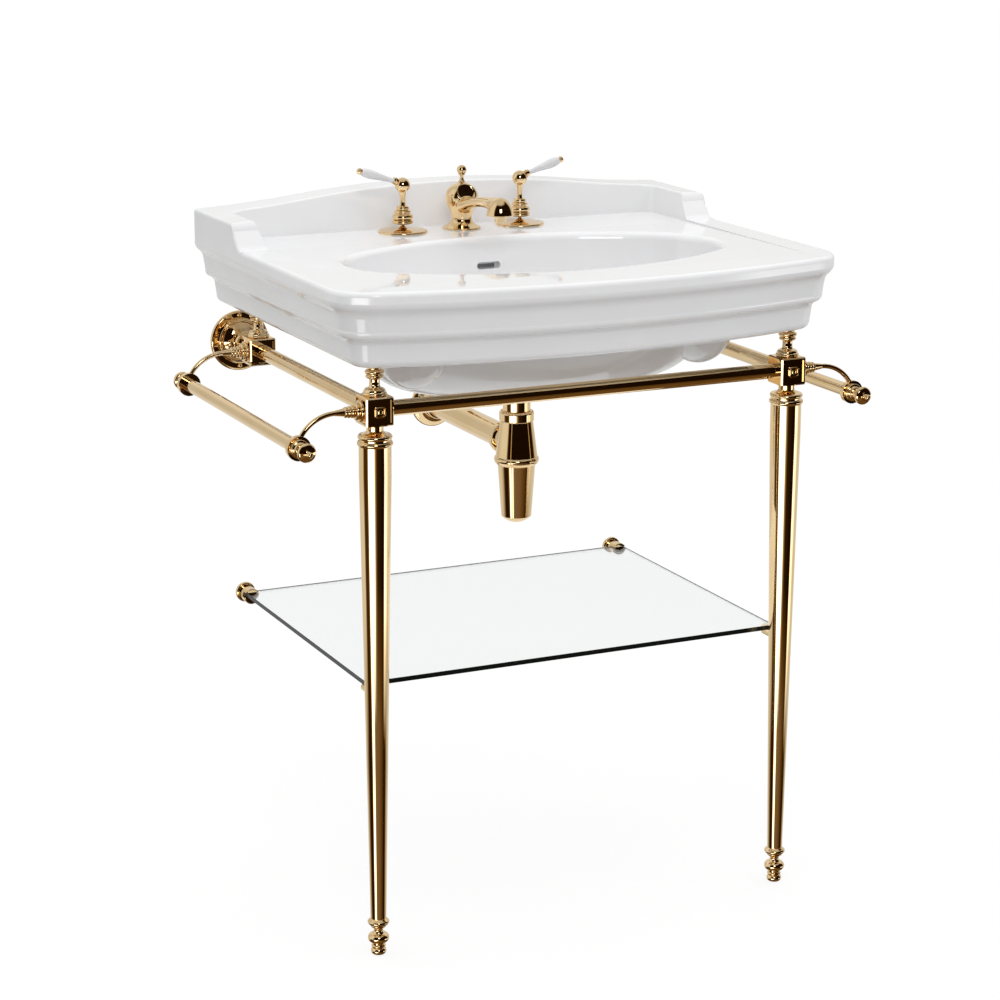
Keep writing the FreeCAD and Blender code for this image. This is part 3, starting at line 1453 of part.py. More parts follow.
def build_tap_hub(side):
    """The turning hub: spindle, bell, barrel, stem, ball and the lever's stud."""
    base = "spindle_low"
    body = turned("tap_hub_" + side, "spindle_r", [
        ("upto", "spindle_r", "ledge_z + 5.1 - " + base),
        ("to", "6", "0"),
        ("to", "6.4", "0.6"),
        ("cove", "10.5", "5.6", "6.6"),
        ("to", "12.4", "0"),
        ("bead", "12.4", "4.8", "11.4"),
        ("to", "10.8", "0"),
        ("bead", "10.8", "8", "9.4"),
        ("to", "9.5", "0"),
        ("to", "9.5", "1.2"),
        ("bead", "10", "3.4", "9"),
        ("to", "7.6", "0.8"),
        ("bead", "6.9", "4.8", "5.6"),
        ("to", "4", "0.4"),
        ("cove", "4.9", "18", "60"),
        ("bead", "4.9", "2 * sqrt(ball_r^2 - 4.9^2) + 1", "0"),
        ("bead", "0", "ball_r - sqrt(ball_r^2 - 4.9^2)", "0"),
    ])
    lean = 90 - value("lever_rise")
    turn = Rotation(Vector(0, 1, 0), lean if side == "right" else -lean)
    for name, start, run, radius in (("ferrule", "ball_r - 1.6", "ferrule_run + 1.6", "4.4"),
                                     ("collar", "ball_r", "1.4", "5.2"),
                                     ("stud", "0", "lever_run - 4", "stud_r")):
        rod = body.newObject("PartDesign::AdditiveCylinder", "%s_%s" % (body.Name, name))
        rod.setExpression("Radius", bound(radius))
        rod.setExpression("Height", bound(run))
        shift = "(%s)" % start
        aside = "" if side == "right" else "-"
        rod.Placement = Placement(Vector(), turn)
        rod.setExpression("Placement.Base.x", bound(aside + shift + " * cos(lever_rise * 1deg)"))
        rod.setExpression("Placement.Base.z", bound(shift + " * sin(lever_rise * 1deg) + ball_z - " + base))
    return at_tap(body, side, base)


def along_lever(body, side, start):
    """Place a turned piece on the lever's line, that far out from the ball's centre."""
    lean = 90 - value("lever_rise")
    turn = Rotation(Vector(0, 1, 0), lean if side == "right" else -lean)
    x = "tap_x + (%s) * cos(lever_rise * 1deg)" % start
    x = x if side == "right" else "-(%s)" % x
    return place(body, x, "tap_y", "ball_z + (%s) * sin(lever_rise * 1deg)" % start, turn)


def build_lever_grip(side):
    body = turned("lever_grip_" + side, "3.2", [
        ("to", "3.2", "0.6"),
        ("bead", "4.75", "lever_run - ball_r - ferrule_run - 14.6", "-148"),
        ("bead", "3.4", "7.4", "-15.6"),
    ], bore="stud_r + fit_gap")
    return along_lever(body, side, "ball_r + ferrule_run")


def build_lever_button(side):
    body = turned("lever_button_" + side, "3.5", [
        ("to", "3.5", "1"),
        ("bead", "4.3", "2", "2.2"),
        ("bead", "0", "3.6", "0"),
    ])
    cut_round(body, "thread", "XY", middle, "stud_r + fit_gap", "0", "2.7")
    return along_lever(body, side, "lever_run - 6.6")


# ---------------------------------------------------------------- spout

def primitive_cut(body, name, radius, height, out, lean):
    """Cut with a round bar that starts that far from the dome's middle, leaning back."""
    bar = body.newObject("PartDesign::SubtractiveCylinder", "spout_" + name)
    bar.setExpression("Radius", bound(radius))
    bar.setExpression("Height", bound(height))
    bar.Placement = Placement(Vector(), Rotation(Vector(1, 0, 0), 90 - value(lean)))
    bar.setExpression("Placement.Base.y", bound("-(%s) * cos(%s * 1deg)" % (out, lean)))
    bar.setExpression("Placement.Base.z", bound("(%s) * sin(%s * 1deg) + dome_z - ledge_z" % (out, lean)))


arm_rows = [
    ("6", "13.4", "861"),
    ("28", "9.2", "865.4"),
    ("55", "8", "867.4"),
    ("82", "9", "868"),
    ("104", "11.4", "868.4"),
    ("119", "11.4", "868.4"),
]


def build_spout():
    """Flange, waist and dome with a flat hood face, the arm, and the turned-down end."""
    body = turned("spout", "25.5", [
        ("to", "25.5", "1.4"),
        ("bead", "23.6", "1.8", "23.6"),
        ("cove", "12.7", "16.8", "29"),
        ("bead", "dome_r", "dome_z - ledge_z - 20", "-6.4"),
        ("bead", "5.4", "dome_top - dome_z - 1.4", "2.5"),
        ("to", "5.2", "1.1"),
    ])
    primitive_cut(body, "face", "40", "30", "face_out", "face_lean")
    primitive_cut(body, "face_recess", "face_r - 1.6", "30", "face_out - 0.8", "face_lean")
    sections = []
    for index, (out, radius, height) in enumerate(arm_rows):
        sketch = new_sketch(body, "arm_%d" % index, "XZ", out)
        circle(sketch, "0", height + " - ledge_z", radius)
        sections.append(sketch)
    arm = body.newObject("PartDesign::AdditiveLoft", "spout_arm")
    arm.Profile = sections[0]
    arm.Sections = sections[1:]
    hood = new_sketch(body, "hood", "XZ", "spout_reach")
    turning(hood, "hood_r - 0.8", [
        ("bead", "hood_r", "1.2", "hood_r - 1.4"),
        ("to", "hood_r", "5"),
        ("bead", "0", "hood_r", "0"),
    ], base="hood_low - ledge_z")
    feature(body, "Revolution", "hood_turning", hood, ReferenceAxis=(hood, ["V_Axis"]), Angle=360)
    cut_round(body, "shank_socket", "XY", middle, "shank_r + fit_gap", "0", "shank_up")
    cut_round(body, "rod_bore", "XY", middle, "lift_r + fit_gap", "0", "80")
    cut_round(body, "riser", "XY", [("0", "-cross_drop")], "3", "0", "arm_way_z - ledge_z")
    way = "(spout_reach / 2 + 2)"
    cut_round(body, "arm_way", "XZ", [("0", "arm_way_z - ledge_z")], "3.4", way, "spout_reach / 2 - 2.2")
    outlet = [("0", "-spout_reach")]
    cut_round(body, "outlet_way", "XY", outlet, "5", "0", "arm_way_z - ledge_z + 2")
    cut_round(body, "aerator_seat", "XY", outlet, "aerator_r + fit_gap", "0", "hood_low + 7 - ledge_z")
    return place(body, "0", "tap_y", "ledge_z")


def build_aerator():
    body = turned("aerator", "aerator_r - 0.6", [
        ("bead", "aerator_r", "1", "aerator_r - 1.2"),
        ("upto", "aerator_r", "hood_low + 6.8 - aerator_low"),
    ])
    cut_round(body, "mouth", "XY", middle, "5.4", "0", "2.4")
    cut_round(body, "hollow", "XY", middle, "5.4", "24", "19.6")
    holes = [("%.3f" % (3.2 * math.cos(turn)), "%.3f" % (3.2 * math.sin(turn)))
             for turn in [math.radians(60 * step + 20) for step in range(6)]]
    cut_round(body, "screen", "XY", middle + holes, "1", "0", "8")
    return place(body, "0", "tap_y - spout_reach", "aerator_low")


def build_spout_shank():
    body = turned("spout_shank", "shank_r", [("upto", "shank_r", "ledge_z + shank_up - 0.2 - shank_low")],
                  bore="lift_r + fit_gap")
    cut_round(body, "waterway", "XY", [("0", "-cross_drop")], "3", "0", "120")
    return place(body, "0", "tap_y", "shank_low")


def build_tee():
    """The block under the spout where both valves' pipes meet."""
    body = new_body("spout_tee")
    sketch = new_sketch(body, "block", "XY")
    draw(sketch, square("tee_half"))
    feature(body, "Pad", "block_pad", sketch, Length="tee_tall")
    cut_round(body, "shank_socket", "XY", middle, "shank_r + fit_gap", "tee_tall", "tee_z + tee_tall - shank_low")
    cut_round(body, "rod_bore", "XY", middle, "lift_r + 0.15", "0", "60")
    port = [("-cross_drop", "cross_z - tee_z")]
    cut_round(body, "cross_way", "YZ", port, "cross_r - 1", "0", "60")
    for name, edge in (("left", "-tee_half"), ("right", "tee_half")):
        cut_round(body, name + "_port", "YZ", port, "cross_r + fit_gap", edge, "4.2")
    cut_round(body, "riser", "XY", [("0", "-cross_drop")], "3", "tee_tall", "tee_z + tee_tall - cross_z")
    return place(body, "0", "tap_y", "tee_z")


def build_cross_pipes():
    made = []
    for side in sides:
        pipe = turned("cross_pipe_" + side, "cross_r",
                      [("to", "cross_r", "tap_x - tee_half - chamber_r + 9")], bore="cross_r - 1")
        start = "tee_half - 4" if side == "right" else "-(tap_x - chamber_r + 5)"
        made.append(place(pipe, start, "tap_y - cross_drop", "cross_z", along_x))
    return group("cross_pipes", made)


# ---------------------------------------------------------------- assembly

def build_all():
    made = [build_basin(), build_front_rail(), build_rosette_screws(), build_glass()]
    made += [build_waste_body(), build_waste_washer(), build_waste_nut(), build_plug(), build_plug_seal()]
    made += [build_pivot_rod(), build_pivot_nut(), build_lift_rod(), build_lift_strap()]
    made += [build_trap_collar(), build_trap_body(), build_trap_cup(), build_dip_tube()]
    made += [build_outlet_nut(), build_outlet_pipe(), build_wall_cover()]
    made += [build_cartridges(), build_deck_washers(), build_deck_nuts()]
    made += [build_spout(), build_aerator(), build_spout_shank(), build_tee(), build_cross_pipes()]
    made += [group("feet", [build_foot(side) for side in sides])]
    made += [group("block_caps", [build_cap(side) for side in sides])]
    made += [group("shelf_rests", [build_rest(side) for side in sides])]
    made += [group("shelf_sockets", [build_shelf_socket(side) for side in sides])]
    corners = [(side, end) for side in sides for end in ends]
    made += [group("basin_supports", [build_support(*corner) for corner in corners])]
    made += [group("towel_knobs", [build_knob(*corner) for corner in corners])]
    for side in sides:
        made += [build_leg(side), build_side_rail(side), build_rosette(side), build_bar(side)]
        made += [build_valve_body(side), build_escutcheon(side), build_tap_hub(side)]
        made += [build_lever_grip(side), build_lever_button(side)]
        for end in ends:
            made += [build_block(side, end), build_arm(side, end)]
    return made


def check(made):
    """Stop if any object failed or any sub-part's shape isn't sound."""
    for item in doc.Objects:
        if "Invalid" in item.State or "Error" in item.State:
            raise RuntimeError("%s failed: %s" % (item.Name, item.State))
    for item in made:
        if item.Shape.isNull() or not item.Shape.isValid():
            raise RuntimeError("%s has no sound shape" % item.Label)


def write(made):
    os.makedirs("parts", exist_ok=True)
    for item in made:
        item.Shape.exportStep("parts/%s.step" % item.Label)
        print(item.Label, len(item.Shape.Solids), round(item.Shape.Volume / 1000, 2))


parts = build_all()
doc.recompute()
check(parts)
write(parts)
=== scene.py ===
import bpy
import json
import math
from mathutils import Matrix, Vector


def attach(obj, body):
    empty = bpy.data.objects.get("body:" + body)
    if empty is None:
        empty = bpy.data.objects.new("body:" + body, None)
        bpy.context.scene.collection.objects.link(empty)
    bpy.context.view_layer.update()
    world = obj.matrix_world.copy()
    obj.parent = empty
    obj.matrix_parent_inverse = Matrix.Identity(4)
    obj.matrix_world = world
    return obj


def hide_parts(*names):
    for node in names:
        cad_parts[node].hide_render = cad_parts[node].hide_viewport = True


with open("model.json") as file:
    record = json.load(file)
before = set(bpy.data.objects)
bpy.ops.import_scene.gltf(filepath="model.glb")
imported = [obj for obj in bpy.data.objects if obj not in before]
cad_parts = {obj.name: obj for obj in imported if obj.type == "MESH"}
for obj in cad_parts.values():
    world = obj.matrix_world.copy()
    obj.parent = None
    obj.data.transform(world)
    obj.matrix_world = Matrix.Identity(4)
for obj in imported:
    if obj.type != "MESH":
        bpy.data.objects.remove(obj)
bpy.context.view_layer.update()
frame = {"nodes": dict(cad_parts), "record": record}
print("frame loaded")


def fromHex(code):
    # sRGB hex to the linear colour that nodes take
    parts = [int(code[i:i + 2], 16) / 255 for i in (1, 3, 5)]
    linear = [p / 12.92 if p <= 0.04045 else ((p + 0.055) / 1.055) ** 2.4 for p in parts]
    return (*linear, 1)


def addNode(tree, kind, settings=None, values=None, links=None, stops=None):
    # one node with its settings, socket values, incoming links and, on a ramp, its stops
    node = tree.nodes.new(kind)
    for name, value in (settings or {}).items():
        setattr(node, name, value)
    for socket, value in (values or {}).items():
        node.inputs[socket].default_value = value
    for socket, source in (links or {}).items():
        tree.links.new(source, node.inputs[socket])
    if stops:
        band = node.color_ramp.elements
        while len(band) < len(stops):
            band.new(0.5)
        for element, (place, colour) in zip(band, stops):
            element.position = place
            element.color = colour
    return node


def between(span, results):
    # the values that spread a span over a pair of results
    return {"From Min": span[0], "From Max": span[1], "To Min": results[0], "To Max": results[1]}


def newMaterial(name):
    material = bpy.data.materials.new(name)
    material.use_nodes = True
    material.node_tree.nodes.clear()
    return material, material.node_tree


# Pattern sizes and bump depths are metres on the real object. A pair ending in From is the
# span of the noise that is spread over the colours or the roughness beside it.

goldLook = {
    "light": "#F8DCAE",
    "deep": "#F0D09D",
    "patch": 0.09,
    "patchFrom": (0.3, 0.7),
    "smudge": 0.035,
    "smudgeFrom": (0.3, 0.75),
    "smudgeFine": 0.65,
    "grain": 0.007,
    "rough": (0.02, 0.06),
    "bump": 0.0000008,
}
plainBrassLook = dict(goldLook, light="#D9B877", deep="#B8924F", rough=(0.22, 0.4), bump=0.00002)


def makeGold(name, look):
    # plated metal, mirror-like: its shine is cloudier where it was wiped, and its pale
    # gold is a little deeper where the plating is thicker; the faint waves of polishing
    # bend its reflections
    material, tree = newMaterial(name)
    point = addNode(tree, "ShaderNodeTexCoord").outputs["Object"]
    patch = addNode(tree, "ShaderNodeTexNoise", values={"Scale": 1 / look["patch"], "Detail": 2},
                    links={"Vector": point})
    deepFrom, lightFrom = look["patchFrom"]
    colour = addNode(tree, "ShaderNodeValToRGB", links={"Fac": patch.outputs["Fac"]},
                     stops=[(deepFrom, fromHex(look["deep"])), (lightFrom, fromHex(look["light"]))])
    smudge = addNode(tree, "ShaderNodeTexNoise",
                     values={"Scale": 1 / look["smudge"], "Detail": 6,
                             "Roughness": look["smudgeFine"]},
                     links={"Vector": point})
    rough = addNode(tree, "ShaderNodeMapRange", values=between(look["smudgeFrom"], look["rough"]),
                    links={"Value": smudge.outputs["Fac"]})
    grain = addNode(tree, "ShaderNodeTexNoise", values={"Scale": 1 / look["grain"], "Detail": 2},
                    links={"Vector": point})
    bump = addNode(tree, "ShaderNodeBump", values={"Strength": 1, "Distance": look["bump"]},
                   links={"Height": grain.outputs["Fac"]})
    shader = addNode(tree, "ShaderNodeBsdfPrincipled", values={"Metallic": 1},
                     links={"Base Color": colour.outputs["Color"],
                            "Roughness": rough.outputs["Result"],
                            "Normal": bump.outputs["Normal"]})
    addNode(tree, "ShaderNodeOutputMaterial", links={"Surface": shader.outputs[0]})
    return material


chinaLook = {
    "light": "#EDEDEE",
    "deep": "#E9E9EA",
    "patch": 0.16,
    "patchFrom": (0.35, 0.65),
    "peel": 0.022,
    "speck": 0.0016,
    "speckFrom": (0.35, 0.7),
    "rough": (0.03, 0.06),
    "bump": 0.00004,
    "glaze": {"IOR": 1.52, "Coat Weight": 0.35, "Coat Roughness": 0.03,
              "Subsurface Weight": 0.04, "Subsurface Scale": 0.004},
}
# The levers' porcelain is the china's white glaze with a greyer base: painted shade, so that the
# grips read grey against the white around them
porcelainPaintedShadeLook = dict(chinaLook, light="#DCDCDD", deep="#D4D4D6", patch=0.02, peel=0.004,
                     bump=0.00002)


def makeChina(name, look):
    # glazed white: a clear coat over a body that lets a little light in, with the slow
    # ripple of a poured glaze and pin-fine specks in its shine
    material, tree = newMaterial(name)
    point = addNode(tree, "ShaderNodeTexCoord").outputs["Object"]
    patch = addNode(tree, "ShaderNodeTexNoise", values={"Scale": 1 / look["patch"], "Detail": 2},
                    links={"Vector": point})
    deepFrom, lightFrom = look["patchFrom"]
    colour = addNode(tree, "ShaderNodeValToRGB", links={"Fac": patch.outputs["Fac"]},
                     stops=[(deepFrom, fromHex(look["deep"])), (lightFrom, fromHex(look["light"]))])
    speck = addNode(tree, "ShaderNodeTexNoise", values={"Scale": 1 / look["speck"], "Detail": 1},
                    links={"Vector": point})
    rough = addNode(tree, "ShaderNodeMapRange", values=between(look["speckFrom"], look["rough"]),
                    links={"Value": speck.outputs["Fac"]})
    peel = addNode(tree, "ShaderNodeTexNoise", values={"Scale": 1 / look["peel"], "Detail": 2},
                   links={"Vector": point})
    bump = addNode(tree, "ShaderNodeBump", values={"Strength": 1, "Distance": look["bump"]},
                   links={"Height": peel.outputs["Fac"]})
    shader = addNode(tree, "ShaderNodeBsdfPrincipled", values=look["glaze"],
                     links={"Base Color": colour.outputs["Color"],
                            "Roughness": rough.outputs["Result"],
                            "Normal": bump.outputs["Normal"]})
    addNode(tree, "ShaderNodeOutputMaterial", links={"Surface": shader.outputs[0]})
    return material


glassLook = {
    "face": "#F8FAFA",
    "edge": "#0A1110",
    "ior": 1.5,
    "smear": 0.06,
    "smearFrom": (0.4, 0.8),
    "rough": (0, 0.02),
    "grind": 0.0006,
    "grindFrom": (0.3, 0.7),
    "edgeRough": (0.18, 0.34),
    "level": 0.9,  # above this share of the upright, a normal belongs to a face
}


def makeGlass(name, look):
    # clear through its faces with faint smears, near black and frosted at its ground edges
    material, tree = newMaterial(name)
    point = addNode(tree, "ShaderNodeTexCoord").outputs["Object"]
    smear = addNode(tree, "ShaderNodeTexNoise", values={"Scale": 1 / look["smear"], "Detail": 4},
                    links={"Vector": point})
    rough = addNode(tree, "ShaderNodeMapRange", values=between(look["smearFrom"], look["rough"]),
                    links={"Value": smear.outputs["Fac"]})
    clear = addNode(tree, "ShaderNodeBsdfPrincipled",
                    values={"Base Color": fromHex(look["face"]), "Transmission Weight": 1,
                            "IOR": look["ior"]},
                    links={"Roughness": rough.outputs["Result"]})
    grind = addNode(tree, "ShaderNodeTexNoise", values={"Scale": 1 / look["grind"], "Detail": 1},
                    links={"Vector": point})
    frost = addNode(tree, "ShaderNodeMapRange",
                    values=between(look["grindFrom"], look["edgeRough"]),
                    links={"Value": grind.outputs["Fac"]})
    edge = addNode(tree, "ShaderNodeBsdfPrincipled",
                   values={"Base Color": fromHex(look["edge"]), "IOR": look["ior"]},
                   links={"Roughness": frost.outputs["Result"]})
    geometry = addNode(tree, "ShaderNodeNewGeometry")
    facing = addNode(tree, "ShaderNodeSeparateXYZ",
                     links={"Vector": geometry.outputs["True Normal"]})
    upright = addNode(tree, "ShaderNodeMath", {"operation": "ABSOLUTE"},
                      links={0: facing.outputs["Z"]})
    isFace = addNode(tree, "ShaderNodeMath", {"operation": "GREATER_THAN"}, {1: look["level"]},
                     {0: upright.outputs[0]})
    shader = addNode(tree, "ShaderNodeMixShader",
                     links={0: isFace.outputs[0], 1: edge.outputs[0], 2: clear.outputs[0]})
    addNode(tree, "ShaderNodeOutputMaterial", links={"Surface": shader.outputs[0]})
    return material


rubberLook = {
    "light": "#1C1C1C",
    "deep": "#101010",
    "pit": 0.0012,
    "pitFrom": (0.3, 0.7),
    "rough": (0.55, 0.75),
    "bump": 0.00005,
}


def makeRubber(name, look):
    # moulded seal: dull and almost black, with a fine pitted skin
    material, tree = newMaterial(name)
    point = addNode(tree, "ShaderNodeTexCoord").outputs["Object"]
    pit = addNode(tree, "ShaderNodeTexNoise", values={"Scale": 1 / look["pit"], "Detail": 3},
                  links={"Vector": point})
    deepFrom, lightFrom = look["pitFrom"]
    colour = addNode(tree, "ShaderNodeValToRGB", links={"Fac": pit.outputs["Fac"]},
                     stops=[(deepFrom, fromHex(look["deep"])), (lightFrom, fromHex(look["light"]))])
    rough = addNode(tree, "ShaderNodeMapRange", values=between(look["pitFrom"], look["rough"]),
                    links={"Value": pit.outputs["Fac"]})
    bump = addNode(tree, "ShaderNodeBump", values={"Strength": 1, "Distance": look["bump"]},
                   links={"Height": pit.outputs["Fac"]})
    shader = addNode(tree, "ShaderNodeBsdfPrincipled",
                     links={"Base Color": colour.outputs["Color"],
                            "Roughness": rough.outputs["Result"],
                            "Normal": bump.outputs["Normal"]})
    addNode(tree, "ShaderNodeOutputMaterial", links={"Surface": shader.outputs[0]})
    return material


finishes = {
    "polished_gold": makeGold("polished_gold", goldLook),
    "plain_brass": makeGold("plain_brass", plainBrassLook),
    "white_vitreous_china": makeChina("white_vitreous_china", chinaLook),
    "white_porcelain": makeChina("white_porcelain", porcelainPaintedShadeLook),
    "clear_glass": makeGlass("clear_glass", glassLook),
    "black_rubber": makeRubber("black_rubber", rubberLook),
}

for part in frame["record"]["subparts"]:
    mesh = frame["nodes"][part["node"]].data
    mesh.materials.clear()
    mesh.materials.append(finishes[part["material_slot"]])
print("materials set")


# Pieces that stand for nodes of the CAD model; their sizes are in millimetres.

mm = 0.001
creaseAngle = 35  # degrees; sharper edges than this stay sharp


def pick(*pieces):
    bpy.ops.object.select_all(action="DESELECT")
    for piece in pieces:
        piece.select_set(True)
    bpy.context.view_layer.objects.active = pieces[0]


def smoothLine(points, steps):
    # a smooth line through the points, with that many steps from each to the next
    line = []
    ends = [points[0], *points, points[-1]]
    for before, first, last, after in zip(ends, ends[1:], ends[2:], ends[3:]):
        for step in range(steps):
            t = step / steps
            spot = []
            for a, b, c, d in zip(before, first, last, after):
                cubic = 2 * a - 5 * b + 4 * c - d + t * (3 * b - a - 3 * c + d)
                spot.append(b + 0.5 * t * (c - a + t * cubic))
            line.append(tuple(spot))
    return line + [points[-1]]


def placed(piece, at, *turns):
    # turned by each (axis, degrees), then moved there, with the transform applied to the mesh
    matrix = Matrix.Identity(4)
    for axis, degrees in turns:
        matrix = Matrix.Rotation(math.radians(degrees), 4, axis) @ matrix
    piece.matrix_world = Matrix.Translation(Vector(at) * mm) @ matrix
    pick(piece)
    bpy.ops.object.transform_apply(location=True, rotation=True, scale=True)
    return piece


def drawnUp(name, rows, at, *turns):
    # the active object's face is drawn up through rows of half width, half depth, shift in
    # depth and height
    piece = bpy.context.object
    piece.name = name
    bpy.ops.object.mode_set(mode="EDIT")
    bpy.ops.mesh.select_all(action="SELECT")
    for (wide, deep, shift, up), (nextWide, nextDeep, nextShift, nextUp) in zip(rows, rows[1:]):
        bpy.ops.mesh.extrude_region_move(
            TRANSFORM_OT_translate={"value": (0, (nextShift - shift) * mm, (nextUp - up) * mm)})
        bpy.ops.transform.resize(value=(nextWide / wide, nextDeep / deep, 1),
                                 center_override=(0, nextShift * mm, nextUp * mm))
    bpy.ops.mesh.select_all(action="SELECT")
    bpy.ops.mesh.normals_make_consistent(inside=False)
    bpy.ops.object.mode_set(mode="OBJECT")
    return placed(piece, at, *turns)


def turned(name, profile, at, *turns, sides=96):
    # a turned piece, its profile as radius and height from its lower end
    radius, height = profile[0]
    bpy.ops.object.select_all(action="DESELECT")
    bpy.ops.mesh.primitive_circle_add(vertices=sides, radius=radius * mm, fill_type="NGON",
                                      location=(0, 0, height * mm))
    bpy.ops.object.transform_apply(location=True)
    return drawnUp(name, [(r, r, 0, up) for r, up in profile], at, *turns)


def shapeWith(piece, kind, **settings):
    # add one modifier and apply it
    pick(piece)
    modifier = piece.modifiers.new(kind.lower(), kind)
    for name, value in settings.items():
        setattr(modifier, name, value)
    bpy.ops.object.modifier_apply(modifier=modifier.name)


def cutAway(piece, *cutters):
    for cutter in cutters:
        shapeWith(piece, "BOOLEAN", operation="DIFFERENCE", solver="EXACT", object=cutter)
        bpy.data.objects.remove(cutter, do_unlink=True)


def bar(radius, low, high, at, *turns):
    # a round bar to cut with, between two heights
    return turned("cutter", [(radius, low), (radius, high)], at, *turns, sides=64)


def joined(name, pieces):
    pick(*pieces)
    bpy.ops.object.join()
    pieces[0].name = name
    return pieces[0]


def dress(piece, slot, body, *nodes):
    pick(piece)
    bpy.ops.object.shade_smooth_by_angle(angle=math.radians(creaseAngle))
    piece.data.materials.clear()
    piece.data.materials.append(finishes[slot])
    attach(piece, body)
    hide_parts(*nodes)


spoutShape = {
    "at": (0, 181.5, 825),
    "body": [(25.3, 0), (25.5, 0.8), (24.9, 2), (20.4, 4.2), (16, 7.6), (13.3, 12), (13.9, 17.6),
             (17, 25), (19.9, 32), (21.6, 39), (21.2, 46), (18.2, 52), (12.6, 57), (6.2, 59.6),
             (5.2, 60.4), (5.1, 61.1)],
    "bodySteps": 4,
    "faceCentre": 41,
    "faceOut": 16.8,
    "faceLean": 30,
    "recessRadius": 12,
    "recessDepth": 1.5,
    "clear": (60, 90),  # radius and reach that leave the piece behind
    "arm": [(15, 12, 31, 2), (13.6, 10, 33.4, 18), (11.4, 8, 37.4, 32), (10, 7.1, 40.6, 48),
            (9.6, 7.1, 43.4, 70), (10.6, 8, 44.6, 88), (12.4, 8.9, 45, 102), (12, 8.6, 45.4, 114)],
    "armSteps": 6,
    "armSides": 72,
    "reach": 119,
    "bell": [(16.9, 32), (17.4, 32.9), (17.1, 35), (16.2, 39.5), (14.6, 44), (12, 48.4),
             (8, 52.6), (3.6, 55), (0.3, 55.6)],
    "bellSteps": 5,
    "voxel": 0.75,
    "smoothing": 7,
    "smoothFactor": 0.5,
    "baseBores": [(12.2, -5, 7), (3.6, -5, 80)],  # the shank's room and the pull rod's
    "tipBores": [(14.6, 20, 34.2), (7.35, 20, 38.9), (5, 20, 43)],  # the mouth, narrowing
}


def makeSpout(shape):
    # waisted body with a flat hood face, an arm that grows out of it, and the turned-down bell
    x, y, deck = shape["at"]
    spout = turned("spout_dressed", smoothLine(shape["body"], shape["bodySteps"]), shape["at"])
    middle = (x, y, deck + shape["faceCentre"])
    lean = ("X", 90 - shape["faceLean"])
    wide, far = shape["clear"]
    cutAway(spout, bar(wide, shape["faceOut"], far, middle, lean),
            bar(shape["recessRadius"], shape["faceOut"] - shape["recessDepth"], far, middle, lean))
    rows = smoothLine(shape["arm"], shape["armSteps"])
    wide, tall, up, start = rows[0]
    bpy.ops.object.select_all(action="DESELECT")
    bpy.ops.mesh.primitive_circle_add(vertices=shape["armSides"], radius=mm, fill_type="NGON",
                                      location=(0, up * mm, start * mm))
    bpy.context.object.scale = (wide, tall, 1)
    bpy.ops.object.transform_apply(location=True, scale=True)
    arm = drawnUp("arm", rows, shape["at"], ("X", 90))
    tip = (x, y - shape["reach"], deck)
    bell = turned("bell", smoothLine(shape["bell"], shape["bellSteps"]), tip)
    joined("spout_dressed", [spout, arm, bell])
    shapeWith(spout, "REMESH", mode="VOXEL", voxel_size=shape["voxel"] * mm)
    shapeWith(spout, "SMOOTH", factor=shape["smoothFactor"], iterations=shape["smoothing"])
    cutAway(spout, *(bar(*bore, shape["at"]) for bore in shape["baseBores"]),
            *(bar(*bore, tip) for bore in shape["tipBores"]))
    dress(spout, "polished_gold", "console", "spout")


gripShape = {
    "taps": {"left": -84.5, "right": 84.5},
    "ball": (181.5, 889),
    "rise": 17.4,
    "profile": [(3.1, 13.7), (3.15, 17), (3.3, 21), (3.8, 27), (4.6, 34), (5.5, 41), (6.05, 47),
                (6.1, 51), (5.7, 55), (5, 58), (4.3, 60), (3.5, 60.4)],
    "steps": 4,
    "sides": 72,
    "bore": (1.7, 10, 64),
}


def makeGrips(shape):
    # a swelling porcelain lever on each tap, bored through for its rod
    for side, x in shape["taps"].items():
        lean = 90 - shape["rise"]
        at = (x, *shape["ball"])
        turn = ("Y", lean if side == "right" else -lean)
        profile = smoothLine(shape["profile"], shape["steps"])
        grip = turned("grip_" + side, profile, at, turn, sides=shape["sides"])
        cutAway(grip, bar(*shape["bore"], at, turn))
        dress(grip, "white_porcelain", side + "_handle", "lever_grip_" + side)


screwShape = {
    "across": (-279, 279),
    "up": (646, 714),
    "wall": 277.5,
    "profile": [(1.85, 0), (1.85, 2.6), (2.85, 2.6), (2.9, 3.1), (2.6, 3.8), (1.8, 4.5),
                (0.8, 4.75), (0.2, 4.8)],
    "sides": 32,
    "slotFloor": 3.7,
    "slotSize": (0.8, 8, 4),
    "turns": (20, -35, 70, 5),
}


def makeScrews(shape):
    # slotted heads, each stopped at its own angle
    screws = []
    spots = [(x, shape["wall"], z) for x in shape["across"] for z in shape["up"]]
    for at, turn in zip(spots, shape["turns"]):
        screw = turned("screw", shape["profile"], at, ("X", 90), sides=shape["sides"])
        bpy.ops.object.select_all(action="DESELECT")
        bpy.ops.mesh.primitive_cube_add(size=mm)
        slot = bpy.context.object
        slot.scale = shape["slotSize"]
        slot.location = (0, 0, (shape["slotFloor"] + shape["slotSize"][2] / 2) * mm)
        bpy.ops.object.transform_apply(location=True, scale=True)
        cutAway(screw, placed(slot, at, ("Z", turn), ("X", 90)))
        screws.append(screw)
    dress(joined("slotted_screws", screws), "polished_gold", "console", "rosette_screws")


capShape = {
    "across": (-279, 279),
    "at": (-203.4, 680),
    "corner": 2.6,
    "cornerSteps": 6,
    "rows": [(6.6, 0), (6.6, 1.3), (6.45, 2), (6, 2.5), (5.5, 2.55), (5.1, 2.4), (4.8, 1.9),
             (4.7, 1.1), (2.7, 1.1), (2.6, 1.9), (2.3, 2.3), (1.9, 2.45), (1.2, 2.5)],
}


